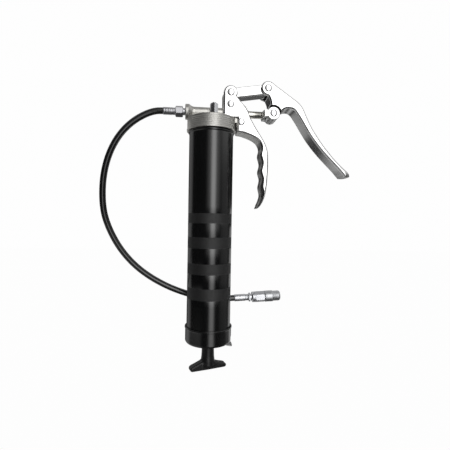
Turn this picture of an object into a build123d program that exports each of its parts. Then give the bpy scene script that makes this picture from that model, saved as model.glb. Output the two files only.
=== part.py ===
from build123d import *
import os
from math import sin, cos, radians, pi, hypot, atan2

# One-hand pistol-grip grease gun with a whip hose and hydraulic coupler, in millimetres.
# Origin: barrel axis at the lower face of the end cap. +Z runs up the barrel to the head,
# +X points to the operating lever, and Y runs along the rivets and pivot pins.
# Heights below are written from a datum inside the end cap; LIFT raises every piece at the end.

# ---------------------------------------------------------------- driving dimensions
RUN = 0.05               # running clearance on a radius
FIT = 0.01               # clearance of a fixed pin on its radius
GAP = 0.02               # gap between neighbouring pieces
THROUGH = 20.0           # half length of a cut that passes right through along Y

CAP_R, CAP_RIM_R, CAP_H = 30.0, 30.7, 17.6
CAP_ROUND = 3.4          # radial size of the cap's rounded lower corner
CAP_Z0 = -3.5            # the end cap's lower face
LIFT = -CAP_Z0
CAP_FLOOR0, CAP_FLOOR1 = 4.6, 7.0
RIM_RI = 22.0            # the recess inside the end cap's resting rim

BARREL_R, BARREL_RI = 28.5, 27.3
BARREL_Z0, BARREL_Z1 = CAP_FLOOR1, 280.0
BEAD_R, BEAD_Z0, BEAD_Z1 = 29.6, 265.2, 268.8
THREAD_R = BARREL_R + 0.06    # inside of the head skirt and of the end cap skirt

LATCH_PIVOT = (-11.0, 2.3)    # (x, z) of the rod release latch
LATCH_PIN_R = 0.9
LATCH_Y, TONGUE_Y = 4.5, 8.0  # half widths of the latch plate and of its thumb tongue
LATCH_LUG_Y = 6.6

ROD_SHAFT_R = 3.175      # follower rod, 1/4 inch
ROD_HOLE_R = ROD_SHAFT_R + RUN
ROD_Z0 = -24.0
BUSHING_R = 4.5
FOLLOWER_Z0 = 255.6      # underside of the follower's lower plate
CUP_Z0 = FOLLOWER_Z0 + 1.8
CUP_FLOOR_Z1 = 263.56
UPPER_PLATE_Z0, UPPER_PLATE_Z1 = 263.6, 265.2
STUD_R = 2.5             # threaded top of the follower rod
TEE_ANGLE = 18.0         # the handle's bar stands turned from the X axis
BAR_Y = 5.4              # half width of the bar

HEAD_R, HEAD_Z0, HEAD_Z1, HEAD_CEIL = 31.3, 269.0, 286.0, 282.0
LIP_R, LIP_H = HEAD_R + 0.5, 2.6
PUMP_Z = 294.3           # height of the pump bore's axis
HOUSING_R, HOUSING_X1 = 6.8, 16.0
FLANGE_R, FLANGE_X0, FLANGE_X1 = 9.9, -34.2, -28.7
VENT = (2.2, -12.9)      # (x, y) of the vent valve
VENT_HOLE_R = 3.0
VENT_POCKET_Z0, VENT_COLLAR_Z0 = 290.0, 299.6

PISTON_R = 4.0
PUMP_BORE_R = PISTON_R + RUN
ROD_R = 4.55             # the part of the plunger seen between the grip and the clevis
PLUNGER_TIP_X, PISTON_END_X = 1.5, 47.4
CHAMBER_R, CHAMBER_X0 = 5.7, 14.0    # packing and return spring chamber
PACKING_X1, PACKING_NUT_X1 = 18.5, 23.0
COLLAR_X0 = 46.0

PIN_R, PIN_HEAD_R, PIN_HEAD_T = 2.5, 4.8, 1.5
RIVET_R, RIVET_HEAD_R = 2.0, 4.6
# Pivots and rivets as (x, z)
GRIP_PIVOT = (23.5, 318.2)       # link to grip
LEVER_PIVOT = (71.8, 326.0)      # lever to link
PLUNGER_PIVOT = (79.4, PUMP_Z)   # lever to plunger
GRIP_RIVETS = ((23.4, 303.3), (37.2, 281.0))    # hold the grip to the head lug
OPEN_PIVOT = 1.05        # extra radius at PLUNGER_PIVOT, where the closed linkage is opened

CHEEK_Y = 13.0           # half width of grip and lever
SLOT_Y = 9.7             # half width of the slots that take the lug and the link
LINK_Y = SLOT_Y - 0.3
LINK_H = 6.4             # half height of the link
LUG_Y = SLOT_Y - 0.06
EYE_Y = 4.8              # half width of the lever's inner eye at PLUNGER_PIVOT
CLEVIS_Y0, CLEVIS_Y1 = 5.1, 12.4
CLEVIS_R, NOTCH_R = 8.2, 10.5
BLOCK_X0, BLOCK_X1 = 66.2, 70.2  # clevis block; it stays clear of the grip at full stroke
SPIGOT_X1, SPIGOT_R = 69.2, 3.0  # end of the plunger inside the clevis block

BALL_R, BALL_SEAT_R, BALL_SEAT_X = 3.0, 2.0, -20.0
BALL_X = BALL_SEAT_X - (BALL_R ** 2 - BALL_SEAT_R ** 2) ** 0.5 - GAP
ADAPTER_POCKET_X = -31.4         # floor of the adapter's spring pocket
ADAPTER_FACE_X = -50.0           # shoulder the hose stops near
HOSE_R, HOSE_RI = 4.15, 2.1
BARB_R = HOSE_RI - 0.04
FERRULE_RI = HOSE_R + 0.06
COUPLER_ORIGIN = (35.4, 38.0, 43.9)
COUPLER_TILT = 3.0       # degrees, nose up
# The coupler's local +X runs from the hose to its mouth
COUPLER = Location(COUPLER_ORIGIN, (0, -COUPLER_TILT, 0))
MOUTH_R = 3.3


# ---------------------------------------------------------------- helpers
def cyl_z(radius, start, end, x=0.0, y=0.0):
    return Pos(x, y, (start + end) / 2) * Cylinder(radius, end - start)


def cyl_y(radius, place, start, end):
    """Cylinder along Y at an (x, z) place."""
    x, z = place
    return Pos(x, (start + end) / 2, z) * Rot(90, 0, 0) * Cylinder(radius, end - start)


def mid_cyl_y(radius, place, half=THROUGH):
    """Cylinder along Y, centred on y = 0."""
    return cyl_y(radius, place, -half, half)


def cyl_x(radius, start, end, z=0.0):
    return Pos((start + end) / 2, 0, z) * Rot(0, 90, 0) * Cylinder(radius, end - start)


def box(*spans):
    """Box from its (low, high) spans in x, y and z."""
    centre = [(low + high) / 2 for low, high in spans]
    return Pos(*centre) * Box(*[high - low for low, high in spans])


def side_span(side, inner, outer):
    """(low, high) in y of a feature from inner to outer on side -1 or 1."""
    return sorted((side * inner, side * outer))


def ring_z(outer, inner, start, end):
    return cyl_z(outer, start, end) - cyl_z(inner, start - 1, end + 1)


def ring_x(outer, inner, start, end, z=0.0):
    return cyl_x(outer, start, end, z) - cyl_x(inner, start - 1, end + 1, z)


def plate(points, half):
    """Prism over a closed x-z outline of straight sides, from y = -half to half."""
    wire = Polyline(*[(x, -half, z) for x, z in points], close=True)
    return extrude(make_face(wire), amount=2 * half, dir=(0, 1, 0))


def strap(start, end, half_height, half):
    """Straight square-ended bar between two (x, z) places."""
    run_x, run_z = end[0] - start[0], end[1] - start[1]
    scale = half_height / hypot(run_x, run_z)
    side_x, side_z = -run_z * scale, run_x * scale
    return plate([(start[0] + side_x, start[1] + side_z), (end[0] + side_x, end[1] + side_z),
                  (end[0] - side_x, end[1] - side_z), (start[0] - side_x, start[1] - side_z)], half)


def cheek_plate(edges):
    """Prism as wide as grip and lever over edges drawn at y = -CHEEK_Y."""
    return extrude(make_face(edges), amount=2 * CHEEK_Y, dir=(0, 1, 0))


def cheek_curve(points):
    return Spline(*[(x, -CHEEK_Y, z) for x, z in points])


def cheek_line(points):
    return Polyline(*[(x, -CHEEK_Y, z) for x, z in points])


def turned_z(points):
    """Solid of revolution about Z from a closed (r, z) outline."""
    wire = Polyline(*[(r, 0, z) for r, z in points], close=True)
    return revolve(make_face(wire), axis=Axis.Z, revolution_arc=360)


def turned_x(points, z=0.0):
    """Solid of revolution about the X direction from a closed (x, r) outline."""
    wire = Polyline(*[(x, 0, r) for x, r in points], close=True)
    return Pos(0, 0, z) * revolve(make_face(wire), axis=Axis.X, revolution_arc=360)


def hex_x(across_flats, start, end):
    """Hexagonal prism about the X axis, with flats facing +Y and -Y."""
    corner = across_flats / 2 / cos(pi / 6)
    points = [(start, corner * sin(i * pi / 3), corner * cos(i * pi / 3)) for i in range(6)]
    return extrude(make_face(Polyline(*points, close=True)), amount=end - start, dir=(1, 0, 0))


def hex_z(corner, start, height, x=0.0, y=0.0, turn=0.0):
    """Hexagonal prism along Z; corner is the radius to a corner, turn is in degrees."""
    angles = [radians(turn + 60 * i) for i in range(6)]
    points = [(x + corner * cos(a), y + corner * sin(a), start) for a in angles]
    return extrude(make_face(Polyline(*points, close=True)), amount=height, dir=(0, 0, 1))


def spring_z(radius, wire, start, end, turns):
    """Coil of wire radius wire whose end coils stop inside start to end."""
    height = end - start - 2 * wire
    path = Helix(height / turns, height, radius, center=(0, 0, start + wire), direction=(0, 0, 1))
    section = Plane(origin=path @ 0, z_dir=path % 0) * Circle(wire)
    return sweep(section, path=path)


def spring_x(radius, wire, start, end, turns, z=0.0):
    return Pos(0, 0, z) * Rot(0, 90, 0) * spring_z(radius, wire, start, end, turns)


def rivet_y(radius, place, half, head_radius):
    """Rivet along Y with a low dome at each end; half is the distance to under the head."""
    rivet = mid_cyl_y(radius, place, half)
    for side in (-1, 1):
        top = side * (half + PIN_HEAD_T)
        head = cyl_y(head_radius, place, *side_span(side, half, half + PIN_HEAD_T))
        rim = [e for e in head.edges()
               if e.geom_type == GeomType.CIRCLE and abs(e.center().Y - top) < 1e-3]
        rivet = rivet + fillet(rim, PIN_HEAD_T * 0.8)
    return rivet


# ---------------------------------------------------------------- barrel and its ends
def barrel_tube():
    tube = ring_z(BARREL_R, BARREL_RI, BARREL_Z0, BARREL_Z1)
    root = BARREL_R - 0.4
    bead = turned_z([(root, BEAD_Z0), (BEAD_R - 0.3, BEAD_Z0 + 0.7), (BEAD_R, BEAD_Z0 + 1.4),
                     (BEAD_R, BEAD_Z1 - 1.0), (BEAD_R - 0.4, BEAD_Z1), (root, BEAD_Z1)])
    return tube + bead


def barrel_end_cap():
    outline = [(RIM_RI, CAP_Z0)]
    for i in range(7):    # rounded lower corner
        angle = radians(-90 + 15 * i)
        outline.append((CAP_R - CAP_ROUND + CAP_ROUND * cos(angle), LIFT * sin(angle)))
    hole = BUSHING_R + GAP
    outline += [(CAP_R, CAP_H - 2.4), (CAP_RIM_R, CAP_H - 1.9), (CAP_RIM_R, CAP_H - 0.3),
                (CAP_RIM_R - 0.4, CAP_H), (THREAD_R, CAP_H), (THREAD_R, CAP_FLOOR1),
                (hole, CAP_FLOOR1), (hole, CAP_FLOOR0), (RIM_RI, CAP_FLOOR0)]
    # slot in the rim that the release latch's tongue leaves through
    slot_y = TONGUE_Y + 0.8
    return turned_z(outline) - box((17.0, 40.0), (-slot_y, slot_y), (CAP_Z0 - 1.0, CAP_FLOOR0))


def rod_bushing():
    return (ring_z(BUSHING_R, ROD_HOLE_R, CAP_FLOOR0, CAP_FLOOR1)
            + ring_z(7.5, ROD_HOLE_R, CAP_FLOOR1, CAP_FLOOR1 + 1.6))


def rod_release_latch():
    """Plate round the rod inside the recess, with a tongue bent down outside the cap."""
    bottom, top = 0.7, 2.2
    profile = [(-11.0, bottom), (15.4, bottom), (23.6, -7.5), (24.6, -7.65),
               (25.0, -6.2), (24.3, -6.1), (16.0, top), (-11.0, top)]
    tongue = plate([(23.6, -7.5), (31.0, -8.7), (31.2, -7.3), (24.2, -6.15)], TONGUE_Y)
    corners = [e for e in tongue.edges()
               if abs(abs(e.center().Y) - TONGUE_Y) < 0.01 and e.center().X > 30.9]
    tongue = fillet(corners, 3.0)
    latch = plate(profile, LATCH_Y) + tongue + cyl_z(7.0, bottom, top)
    latch = latch + mid_cyl_y(1.9, LATCH_PIVOT, LATCH_Y)
    latch = latch - cyl_z(ROD_SHAFT_R + 0.38, -1, 5)
    return latch - mid_cyl_y(LATCH_PIN_R + RUN, LATCH_PIVOT, 5)


def latch_pivot():
    """Small cross pin staked to a pair of lugs under the cap floor."""
    pin = mid_cyl_y(LATCH_PIN_R, LATCH_PIVOT, LATCH_LUG_Y)
    for side in (-1, 1):
        pin = pin + box((-12.6, -9.4), side_span(side, LATCH_Y + 0.2, LATCH_LUG_Y),
                        (0.5, CAP_FLOOR0))
    return pin


def latch_spring():
    return Pos(13.0, 0, 0) * spring_z(1.8, 0.25, 2.25, CAP_FLOOR0 - GAP, turns=3.0)


# ---------------------------------------------------------------- follower, rod and tee handle
def follower_lower_plate():
    return ring_z(21.5, ROD_HOLE_R, FOLLOWER_Z0, CUP_Z0)


def follower_cup():
    return turned_z([(ROD_HOLE_R, CUP_Z0), (25.0, CUP_Z0), (27.15, 261.0), (27.15, 271.0),
                     (26.0, 271.0), (24.5, CUP_FLOOR_Z1), (ROD_HOLE_R, CUP_FLOOR_Z1)])


def follower_upper_plate():
    return ring_z(19.0, ROD_HOLE_R, UPPER_PLATE_Z0, UPPER_PLATE_Z1)


def follower_rod():
    """Rod with a collar under the follower and a stud through the nut."""
    return (cyl_z(ROD_SHAFT_R, ROD_Z0, UPPER_PLATE_Z1 + 0.04)
            + cyl_z(5.4, 252.8, FOLLOWER_Z0 - 0.05) + cyl_z(STUD_R, UPPER_PLATE_Z1, 271.6))


def rod_nut():
    return hex_z(5.6, UPPER_PLATE_Z1 + 0.05, 4.6) - cyl_z(STUD_R + GAP, 260, 275)


def follower_spring():
    return spring_z(22.4, 0.9, CAP_FLOOR1 + GAP, FOLLOWER_Z0 - GAP, turns=15.0)


def tee_handle():
    neck = turned_z([(0, -0.4), (7.8, -0.4), (8.2, -0.9), (8.1, -14.0), (8.4, -22.0),
                     (9.4, -28.0), (9.4, -34.0), (0, -34.0)])
    bar = plate([(-24.7, -36.6), (-24.1, -34.8), (-22.4, -33.4), (-17.0, -31.4), (-9.5, -28.4),
                 (9.5, -30.4), (17.0, -32.8), (22.6, -34.2), (24.4, -35.5), (24.9, -37.1),
                 (24.2, -38.8), (22.4, -39.6), (0.0, -39.9), (-22.4, -39.7), (-24.2, -38.7)],
                BAR_Y)
    # the bar keeps sharp edges if its short outline sides cannot take the fillet
    try:
        bar = fillet([e for e in bar.edges() if abs(abs(e.center().Y) - BAR_Y) < 0.01], 1.4)
    except Exception:
        pass
    tee = Rot(0, 0, TEE_ANGLE) * (neck + bar)
    return tee - cyl_z(ROD_SHAFT_R + FIT, ROD_Z0 - 0.01, 5)


# ---------------------------------------------------------------- head
HEAD_LUG = [    # (x, z)
    (14.8, 284.0), (14.8, 306.5), (16.6, 308.4), (29.0, 308.4), (34.5, 304.2), (42.5, 302.6),
    (45.0, 300.0), (45.0, 280.0), (41.5, 275.0), (38.0, 274.2), (29.0, 274.2), (29.0, 284.0)]


def head_casting():
    head = cyl_z(HEAD_R, HEAD_Z0, HEAD_Z1)
    top_rim = [e for e in head.edges()
               if e.geom_type == GeomType.CIRCLE and abs(e.center().Z - HEAD_Z1) < 1e-3]
    head = chamfer(top_rim, 1.0)
    head = head + cyl_z(LIP_R, HEAD_Z0, HEAD_Z0 + LIP_H)
    # pump housing, its web down to the head, and the outlet flange
    head = head + cyl_x(HOUSING_R, -30.0, HOUSING_X1, z=PUMP_Z)
    head = head + box((-29.5, HOUSING_X1), (-5.0, 5.0), (HEAD_Z1 - 2, PUMP_Z))
    cone_x = FLANGE_X1 + 5
    head = head + turned_x([(FLANGE_X0, 0), (FLANGE_X0, FLANGE_R), (FLANGE_X1, FLANGE_R),
                            (cone_x, HOUSING_R), (cone_x, 0)], z=PUMP_Z)
    head = head + plate(HEAD_LUG, LUG_Y)
    head = head + cyl_z(6.6, HEAD_Z1 - 1, HEAD_Z1 + 0.01, *VENT)
    # barrel socket, pump bore and packing chamber
    head = head - cyl_z(THREAD_R, HEAD_Z0 - 1, HEAD_CEIL)
    head = head - cyl_x(PUMP_BORE_R, -18.0, CHAMBER_X0 + 1, z=PUMP_Z)
    head = head - cyl_x(CHAMBER_R, CHAMBER_X0, 50.0, z=PUMP_Z)
    # ball seat, ball chamber and adapter socket
    head = head - cyl_x(BALL_SEAT_R, BALL_SEAT_X - 0.5, -17.0, z=PUMP_Z)
    head = head - cyl_x(3.4, -28.0, BALL_SEAT_X, z=PUMP_Z) - cyl_x(5.0, -40.0, -27.4, z=PUMP_Z)
    # grease inlet to the pump bore, then the vent hole
    head = head - cyl_z(2.5, HEAD_CEIL - 1, PUMP_Z, -3.2, 0)
    head = head - cyl_z(VENT_HOLE_R, HEAD_CEIL - 1, HEAD_Z1 + 2, *VENT)
    for place in GRIP_RIVETS:
        head = head - mid_cyl_y(RIVET_R + FIT, place)
    return head


def head_gasket():
    return ring_z(28.4, 25.6, BARREL_Z1 + 0.01, HEAD_CEIL - 0.01)


def plunger_packing():
    return ring_x(CHAMBER_R - GAP, PUMP_BORE_R, CHAMBER_X0 + GAP, PACKING_X1, z=PUMP_Z)


def packing_nut():
    nut = ring_x(CHAMBER_R - GAP, PUMP_BORE_R, PACKING_X1 + GAP, PACKING_NUT_X1, z=PUMP_Z)
    # slot across its +X face
    return nut - box((PACKING_NUT_X1 - 1.4, PACKING_NUT_X1 + 1), (-8, 8),
                     (PUMP_Z - 0.8, PUMP_Z + 0.8))


# ---------------------------------------------------------------- outlet valve and hose adapter
def outlet_check_ball():
    return Pos(BALL_X, 0, PUMP_Z) * Sphere(BALL_R)


def outlet_check_spring():
    return spring_x(2.1, 0.25, ADAPTER_POCKET_X, BALL_X - 2.3, turns=4.5, z=PUMP_Z)


def hose_adapter():
    hex_x0, hex_x1 = -46.6, -37.2
    adapter = cyl_x(4.95, -36.0, -28.1, z=PUMP_Z) + cyl_x(4.4, -37.6, -34.0, z=PUMP_Z)
    adapter = adapter + Pos(0, 0, PUMP_Z) * hex_x(12.7, hex_x0, hex_x1)
    adapter = adapter + cyl_x(4.6, ADAPTER_FACE_X, hex_x0, z=PUMP_Z)
    adapter = adapter + cyl_x(BARB_R, -61.0, ADAPTER_FACE_X, z=PUMP_Z)
    return (adapter - cyl_x(1.2, -62.0, ADAPTER_POCKET_X, z=PUMP_Z)
            - cyl_x(2.6, ADAPTER_POCKET_X, -28.0, z=PUMP_Z))


# ---------------------------------------------------------------- hose
HOSE_POINTS = [    # (x, y, z) down the centre line, from the adapter toward the coupler
    (-50.4, 0.0, PUMP_Z), (-56.7, 0.0, PUMP_Z), (-63.0, 0.0, PUMP_Z), (-69.3, 0.05, 293.95),
    (-77.6, 0.3, 292.0), (-88.4, 0.8, 287.2), (-101.7, 1.8, 278.4), (-116.9, 3.9, 262.8),
    (-129.9, 7.3, 240.4), (-137.4, 11.0, 216.8), (-140.9, 16.2, 186.8), (-139.0, 20.8, 160.0),
    (-132.4, 24.5, 139.0), (-119.6, 28.7, 114.6), (-97.8, 33.0, 89.0), (-72.1, 36.2, 70.0),
    (-47.1, 37.6, 57.4), (-20.0, 38.0, 48.4), (4.0, 38.0, 43.9), (22.0, 38.0, 43.3)]
HOSE_END_STATIONS = (-3.6, 2.8, 9.2, 18.6)    # further points, along the coupler's axis


def on_coupler_axis(distance):
    x, y, z = COUPLER_ORIGIN
    tilt = radians(COUPLER_TILT)
    return (x + distance * cos(tilt), y, z + distance * sin(tilt))


def hose():
    path = Spline(*HOSE_POINTS, *[on_coupler_axis(station) for station in HOSE_END_STATIONS])
    section = Plane(origin=path @ 0, z_dir=path % 0) * (Circle(HOSE_R) - Circle(HOSE_RI))
    return sweep(section, path=path)


def ferrule(radius, start, end, grooves, groove_r, groove_half, z=0.0):
    """Sleeve along X with a groove down to groove_r round each x in grooves."""
    sleeve = ring_x(radius, FERRULE_RI, start, end, z)
    for x in grooves:
        sleeve = sleeve - ring_x(radius + 0.8, groove_r, x - groove_half, x + groove_half, z)
    return sleeve


def hose_ferrule_inlet():
    return ferrule(4.7, -62.4, ADAPTER_FACE_X - GAP, grooves=(-60.2, -56.4, -52.6),
                   groove_r=4.5, groove_half=0.5, z=PUMP_Z)


def hose_ferrule_outlet():
    return COUPLER * ferrule(4.85, 3.2, 19.0, grooves=(6.0, 10.5, 15.0),
                             groove_r=4.6, groove_half=0.6)


def hose_tip_fitting():
    tip = cyl_x(BARB_R, 5.0, 19.05) + cyl_x(4.5, 19.05, 24.0) + hex_x(11.4, 24.0, 26.2)
    tip = tip + cyl_x(4.0, 26.2, 28.4) + cyl_x(4.9, 28.4, 38.0)
    return COUPLER * (tip - cyl_x(1.0, 0, 40))


# ---------------------------------------------------------------- coupler, drawn along local X
def coupler_body():
    body = turned_x([(28.2, 0), (28.2, 6.2), (29.2, 7.4), (30.4, 7.6), (30.6, 6.7),
                     (31.8, 6.7), (32.0, 7.6), (33.6, 7.6), (33.6, 0)])
    body = body + hex_x(13.6, 33.6, 47.0) + cyl_x(6.35, 47.0, 55.0)
    return COUPLER * (body - cyl_x(4.95, 28.0, 38.5) - cyl_x(4.0, 38.0, 56.0))


def coupler_sleeve():
    return COUPLER * turned_x([
        (47.05, 6.4), (47.05, 7.4), (47.5, 7.8), (58.6, 7.8), (59.0, 7.1), (67.6, 7.1),
        (69.0, 6.3), (69.3, 5.6), (69.3, 5.05), (64.2, 5.05), (62.0, 6.4)])


def coupler_jaws():
    jaws = ring_x(6.3, MOUTH_R, 56.7, 58.4) + ring_x(4.85, MOUTH_R, 58.4, 68.6)
    for angle in (45, 135):    # crossed slits that part the jaws
        jaws = jaws - Rot(angle, 0, 0) * box((56.0, 69.0), (-10, 10), (-0.35, 0.35))
    return COUPLER * jaws


def coupler_seal():
    return COUPLER * ring_x(3.95, 1.2, 49.2, 56.65)


def coupler_spring():
    return COUPLER * spring_x(3.0, 0.4, 38.55, 49.15, turns=5.0)


# ---------------------------------------------------------------- vent valve on the head
def vent_valve_body():
    seat_z = HEAD_Z1 + GAP
    body = hex_z(5.35, seat_z, 16.2, *VENT, turn=8)
    body = body + cyl_z(VENT_HOLE_R - GAP, HEAD_CEIL, seat_z, *VENT)
    return (body - cyl_z(1.55, HEAD_CEIL - 1, 310, *VENT)
            - cyl_z(2.9, VENT_POCKET_Z0, 300.9, *VENT) - cyl_z(2.05, 300.0, 310, *VENT))


def vent_valve_stem():
    return (cyl_z(1.5, 283.0, 300.0, *VENT) + cyl_z(2.7, VENT_COLLAR_Z0, 300.85, *VENT)
            + cyl_z(2.0, 300.0, 303.7, *VENT))


def vent_valve_spring():
    return Pos(*VENT, 0) * spring_z(2.2, 0.25, VENT_POCKET_Z0 + GAP, VENT_COLLAR_Z0 - GAP,
                                    turns=6.0)


# ---------------------------------------------------------------- fixed grip
# Outlines as (x, z)
GRIP_LEVER_SIDE = [    # +X side, downward
    (36.4, 307.6), (41.7, 301.8), (47.0, 293.8), (49.6, 286.5), (52.4, 281.6), (55.9, 275.6),
    (59.8, 269.6), (63.8, 263.8), (67.2, 258.2), (69.9, 252.9), (71.8, 247.8), (72.8, 242.0),
    (73.3, 233.5), (73.3, 223.2), (72.9, 212.9), (72.2, 202.6), (71.0, 192.3), (69.1, 184.0),
    (66.2, 177.6), (62.8, 173.0), (60.2, 170.6)]
GRIP_BARREL_SIDE = [   # -X side, upward
    (60.6, 175.5), (63.3, 182.0), (64.7, 189.0), (63.0, 199.1), (64.7, 209.5), (62.6, 219.5),
    (64.4, 229.6), (62.0, 240.2), (63.3, 248.6), (61.6, 254.6), (57.4, 259.8), (51.5, 263.4),
    (46.2, 265.6), (39.7, 267.6), (32.6, 268.6)]
GRIP_CHANNEL = [       # room for the head's lug, the link and the plunger
    (10.0, 286.0), (31.0, 286.0), (31.0, 273.4), (44.0, 272.2), (47.0, 277.0), (47.6, 286.6),
    (64.0, 287.4), (64.0, 340.0), (10.0, 340.0)]
GRIP_CROWN = [         # cut at the cheek that takes back the handle's -X corners
    (50.0, 165.0), (57.5, 172.5), (64.5, 178.0), (67.5, 189.0), (68.2, 205.0), (67.2, 225.0),
    (66.6, 240.0), (65.2, 247.5), (60.5, 253.8), (56.0, 257.6), (50.0, 259.0)]


def grip_casting():
    pivot_x, pivot_z = GRIP_PIVOT
    grip = cheek_plate([
        cheek_curve(GRIP_LEVER_SIDE),
        cheek_line([GRIP_LEVER_SIDE[-1], (59.2, 171.0), GRIP_BARREL_SIDE[0]]),
        cheek_curve(GRIP_BARREL_SIDE),
        cheek_line([GRIP_BARREL_SIDE[-1], (32.6, 286.2), (14.4, 286.2), (14.4, pivot_z),
                    (pivot_x, pivot_z + 9.0), (31.4, 314.0), GRIP_LEVER_SIDE[0]])])
    grip = grip + mid_cyl_y(9.15, GRIP_PIVOT, CHEEK_Y)
    grip = grip - plate(GRIP_CHANNEL, SLOT_Y)
    grip = grip - cyl_z(LIP_R + 0.3, 260.0, HEAD_Z1 + 0.05)
    for side in (-1, 1):
        # the cut slopes toward -X as it goes in from the cheek
        outer = [(x, side * CHEEK_Y * 1.02, z) for x, z in GRIP_CROWN]
        inner = [(x - 9.0, side * (CHEEK_Y - 6.5), z) for x, z in GRIP_CROWN]
        grip = grip - loft([make_face(Polyline(*points, close=True)) for points in (outer, inner)])
    for place in GRIP_RIVETS:
        grip = grip - mid_cyl_y(RIVET_R + FIT, place)
    return grip - mid_cyl_y(PIN_R + FIT, GRIP_PIVOT)


def grip_rivets():
    return Compound(children=[rivet_y(RIVET_R, place, CHEEK_Y + 0.01, RIVET_HEAD_R)
                              for place in GRIP_RIVETS])


def link_pin_grip():
    return rivet_y(PIN_R, GRIP_PIVOT, CHEEK_Y + 0.01, PIN_HEAD_R)


def link_pin_lever():
    return rivet_y(PIN_R, LEVER_PIVOT, CHEEK_Y + 0.01, PIN_HEAD_R)


def clevis_pin():
    return rivet_y(PIN_R, PLUNGER_PIVOT, CLEVIS_Y1 + 0.01, PIN_HEAD_R)


# ---------------------------------------------------------------- link and lever
def top_link():
    pivots = (GRIP_PIVOT, LEVER_PIVOT)
    link = strap(*pivots, LINK_H, LINK_Y)
    for pivot in pivots:
        link = link + mid_cyl_y(LINK_H, pivot, LINK_Y)
    for pivot in pivots:
        link = link - mid_cyl_y(PIN_R + RUN, pivot)
    return link


LEVER_OUTER = [    # (x, z) of the side away from the grip, downward
    (111.4, 310.6), (116.2, 305.8), (119.6, 300.4), (125.6, 287.9), (131.7, 276.6),
    (138.6, 266.4), (146.1, 256.3), (154.7, 246.1), (164.0, 236.0), (174.4, 226.4),
    (186.2, 217.0)]
LEVER_INNER = [    # (x, z) of the side facing the grip, upward
    (174.4, 217.4), (168.0, 224.4), (156.9, 235.2), (146.6, 245.4), (137.5, 255.6),
    (129.4, 265.8), (122.6, 276.0), (115.8, 286.8), (109.0, 296.6), (105.4, 300.2),
    (101.4, 301.7), (96.6, 301.2), (92.6, 299.4), (89.0, 296.0)]


def link_slot():
    """Room in the lever for the link and its swing, as overlapping straps."""
    x, z = LEVER_PIVOT
    slot = mid_cyl_y(LINK_H + 0.9, LEVER_PIVOT, SLOT_Y)
    to_grip = pi + atan2(z - GRIP_PIVOT[1], x - GRIP_PIVOT[0])
    reach = 26
    for i in range(6):
        angle = to_grip + radians(i * 6.4)
        end = (x + reach * cos(angle), z + reach * sin(angle))
        slot = slot + strap(LEVER_PIVOT, end, LINK_H + 0.55, SLOT_Y)
    return slot


def lever():
    crest = (LEVER_PIVOT[0] + 4.2, LEVER_PIVOT[1] + 8.3)
    blade = cheek_plate([
        cheek_line([crest, LEVER_OUTER[0]]),
        cheek_curve(LEVER_OUTER),
        cheek_line([LEVER_OUTER[-1], (186.6, 215.4), (183.5, 214.6), (176.6, 214.8),
                    LEVER_INNER[0]]),
        cheek_curve(LEVER_INNER),
        cheek_line([LEVER_INNER[-1], (PLUNGER_PIVOT[0], PLUNGER_PIVOT[1] + 4.0),
                    (75.2, 303.0), (75.4, 306.7), (74.4, 311.2), (72.4, 315.6),
                    (69.0, 318.6), (66.0, 322.0), crest])])
    blade = blade + mid_cyl_y(9.3, LEVER_PIVOT, CHEEK_Y)
    blade = blade + mid_cyl_y(8.0, PLUNGER_PIVOT, EYE_Y)
    # round the end of the blade in plan
    tip_cut = (box((170.0, 200.0), (-20, 20), (200.0, 240.0))
               - (Pos(172.0, 0, 220.0) * Cylinder(14.8, 60.0))
               - box((165.0, 176.0), (-20, 20), (190.0, 250.0)))
    blade = blade - tip_cut
    blade = blade - link_slot()
    for side in (-1, 1):    # notches for the clevis arms
        blade = blade - cyl_y(NOTCH_R, PLUNGER_PIVOT, *side_span(side, EYE_Y + 0.02, THROUGH))
    return (blade - mid_cyl_y(PIN_R + FIT, LEVER_PIVOT)
            - mid_cyl_y(PIN_R + OPEN_PIVOT, PLUNGER_PIVOT))


# ---------------------------------------------------------------- plunger, clevis, return spring
def pump_plunger():
    shoulder_x = BLOCK_X0 - GAP
    return (cyl_x(PISTON_R, PLUNGER_TIP_X, PISTON_END_X, z=PUMP_Z)
            + cyl_x(ROD_R, PISTON_END_X, shoulder_x, z=PUMP_Z)
            + cyl_x(SPIGOT_R, shoulder_x, SPIGOT_X1, z=PUMP_Z))


def plunger_clevis():
    height = (PUMP_Z - ROD_R, PUMP_Z + ROD_R)
    clevis = box((BLOCK_X0, BLOCK_X1), (-CLEVIS_Y1, CLEVIS_Y1), height)
    for side in (-1, 1):
        arm = side_span(side, CLEVIS_Y0, CLEVIS_Y1)
        clevis = clevis + box((BLOCK_X1 - 0.2, PLUNGER_PIVOT[0]), arm, height)
        clevis = clevis + cyl_y(CLEVIS_R, PLUNGER_PIVOT, *arm)
    # the block keeps square -X corners if they cannot take the fillet
    try:
        corners = [e for e in clevis.edges().filter_by(Axis.Z)
                   if abs(e.center().X - BLOCK_X0) < 0.01]
        clevis = fillet(corners, 3.2)
    except Exception:
        pass
    return (clevis - cyl_x(SPIGOT_R + FIT, 60.0, SPIGOT_X1 + 0.1, z=PUMP_Z)
            - mid_cyl_y(PIN_R + FIT, PLUNGER_PIVOT))


def spring_collar():
    return ring_x(5.6, PISTON_R + FIT, COLLAR_X0, PISTON_END_X - GAP, z=PUMP_Z)


def plunger_return_spring():
    return spring_x(4.9, 0.42, PACKING_NUT_X1 + GAP, COLLAR_X0 - GAP, turns=6.5, z=PUMP_Z)


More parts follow.
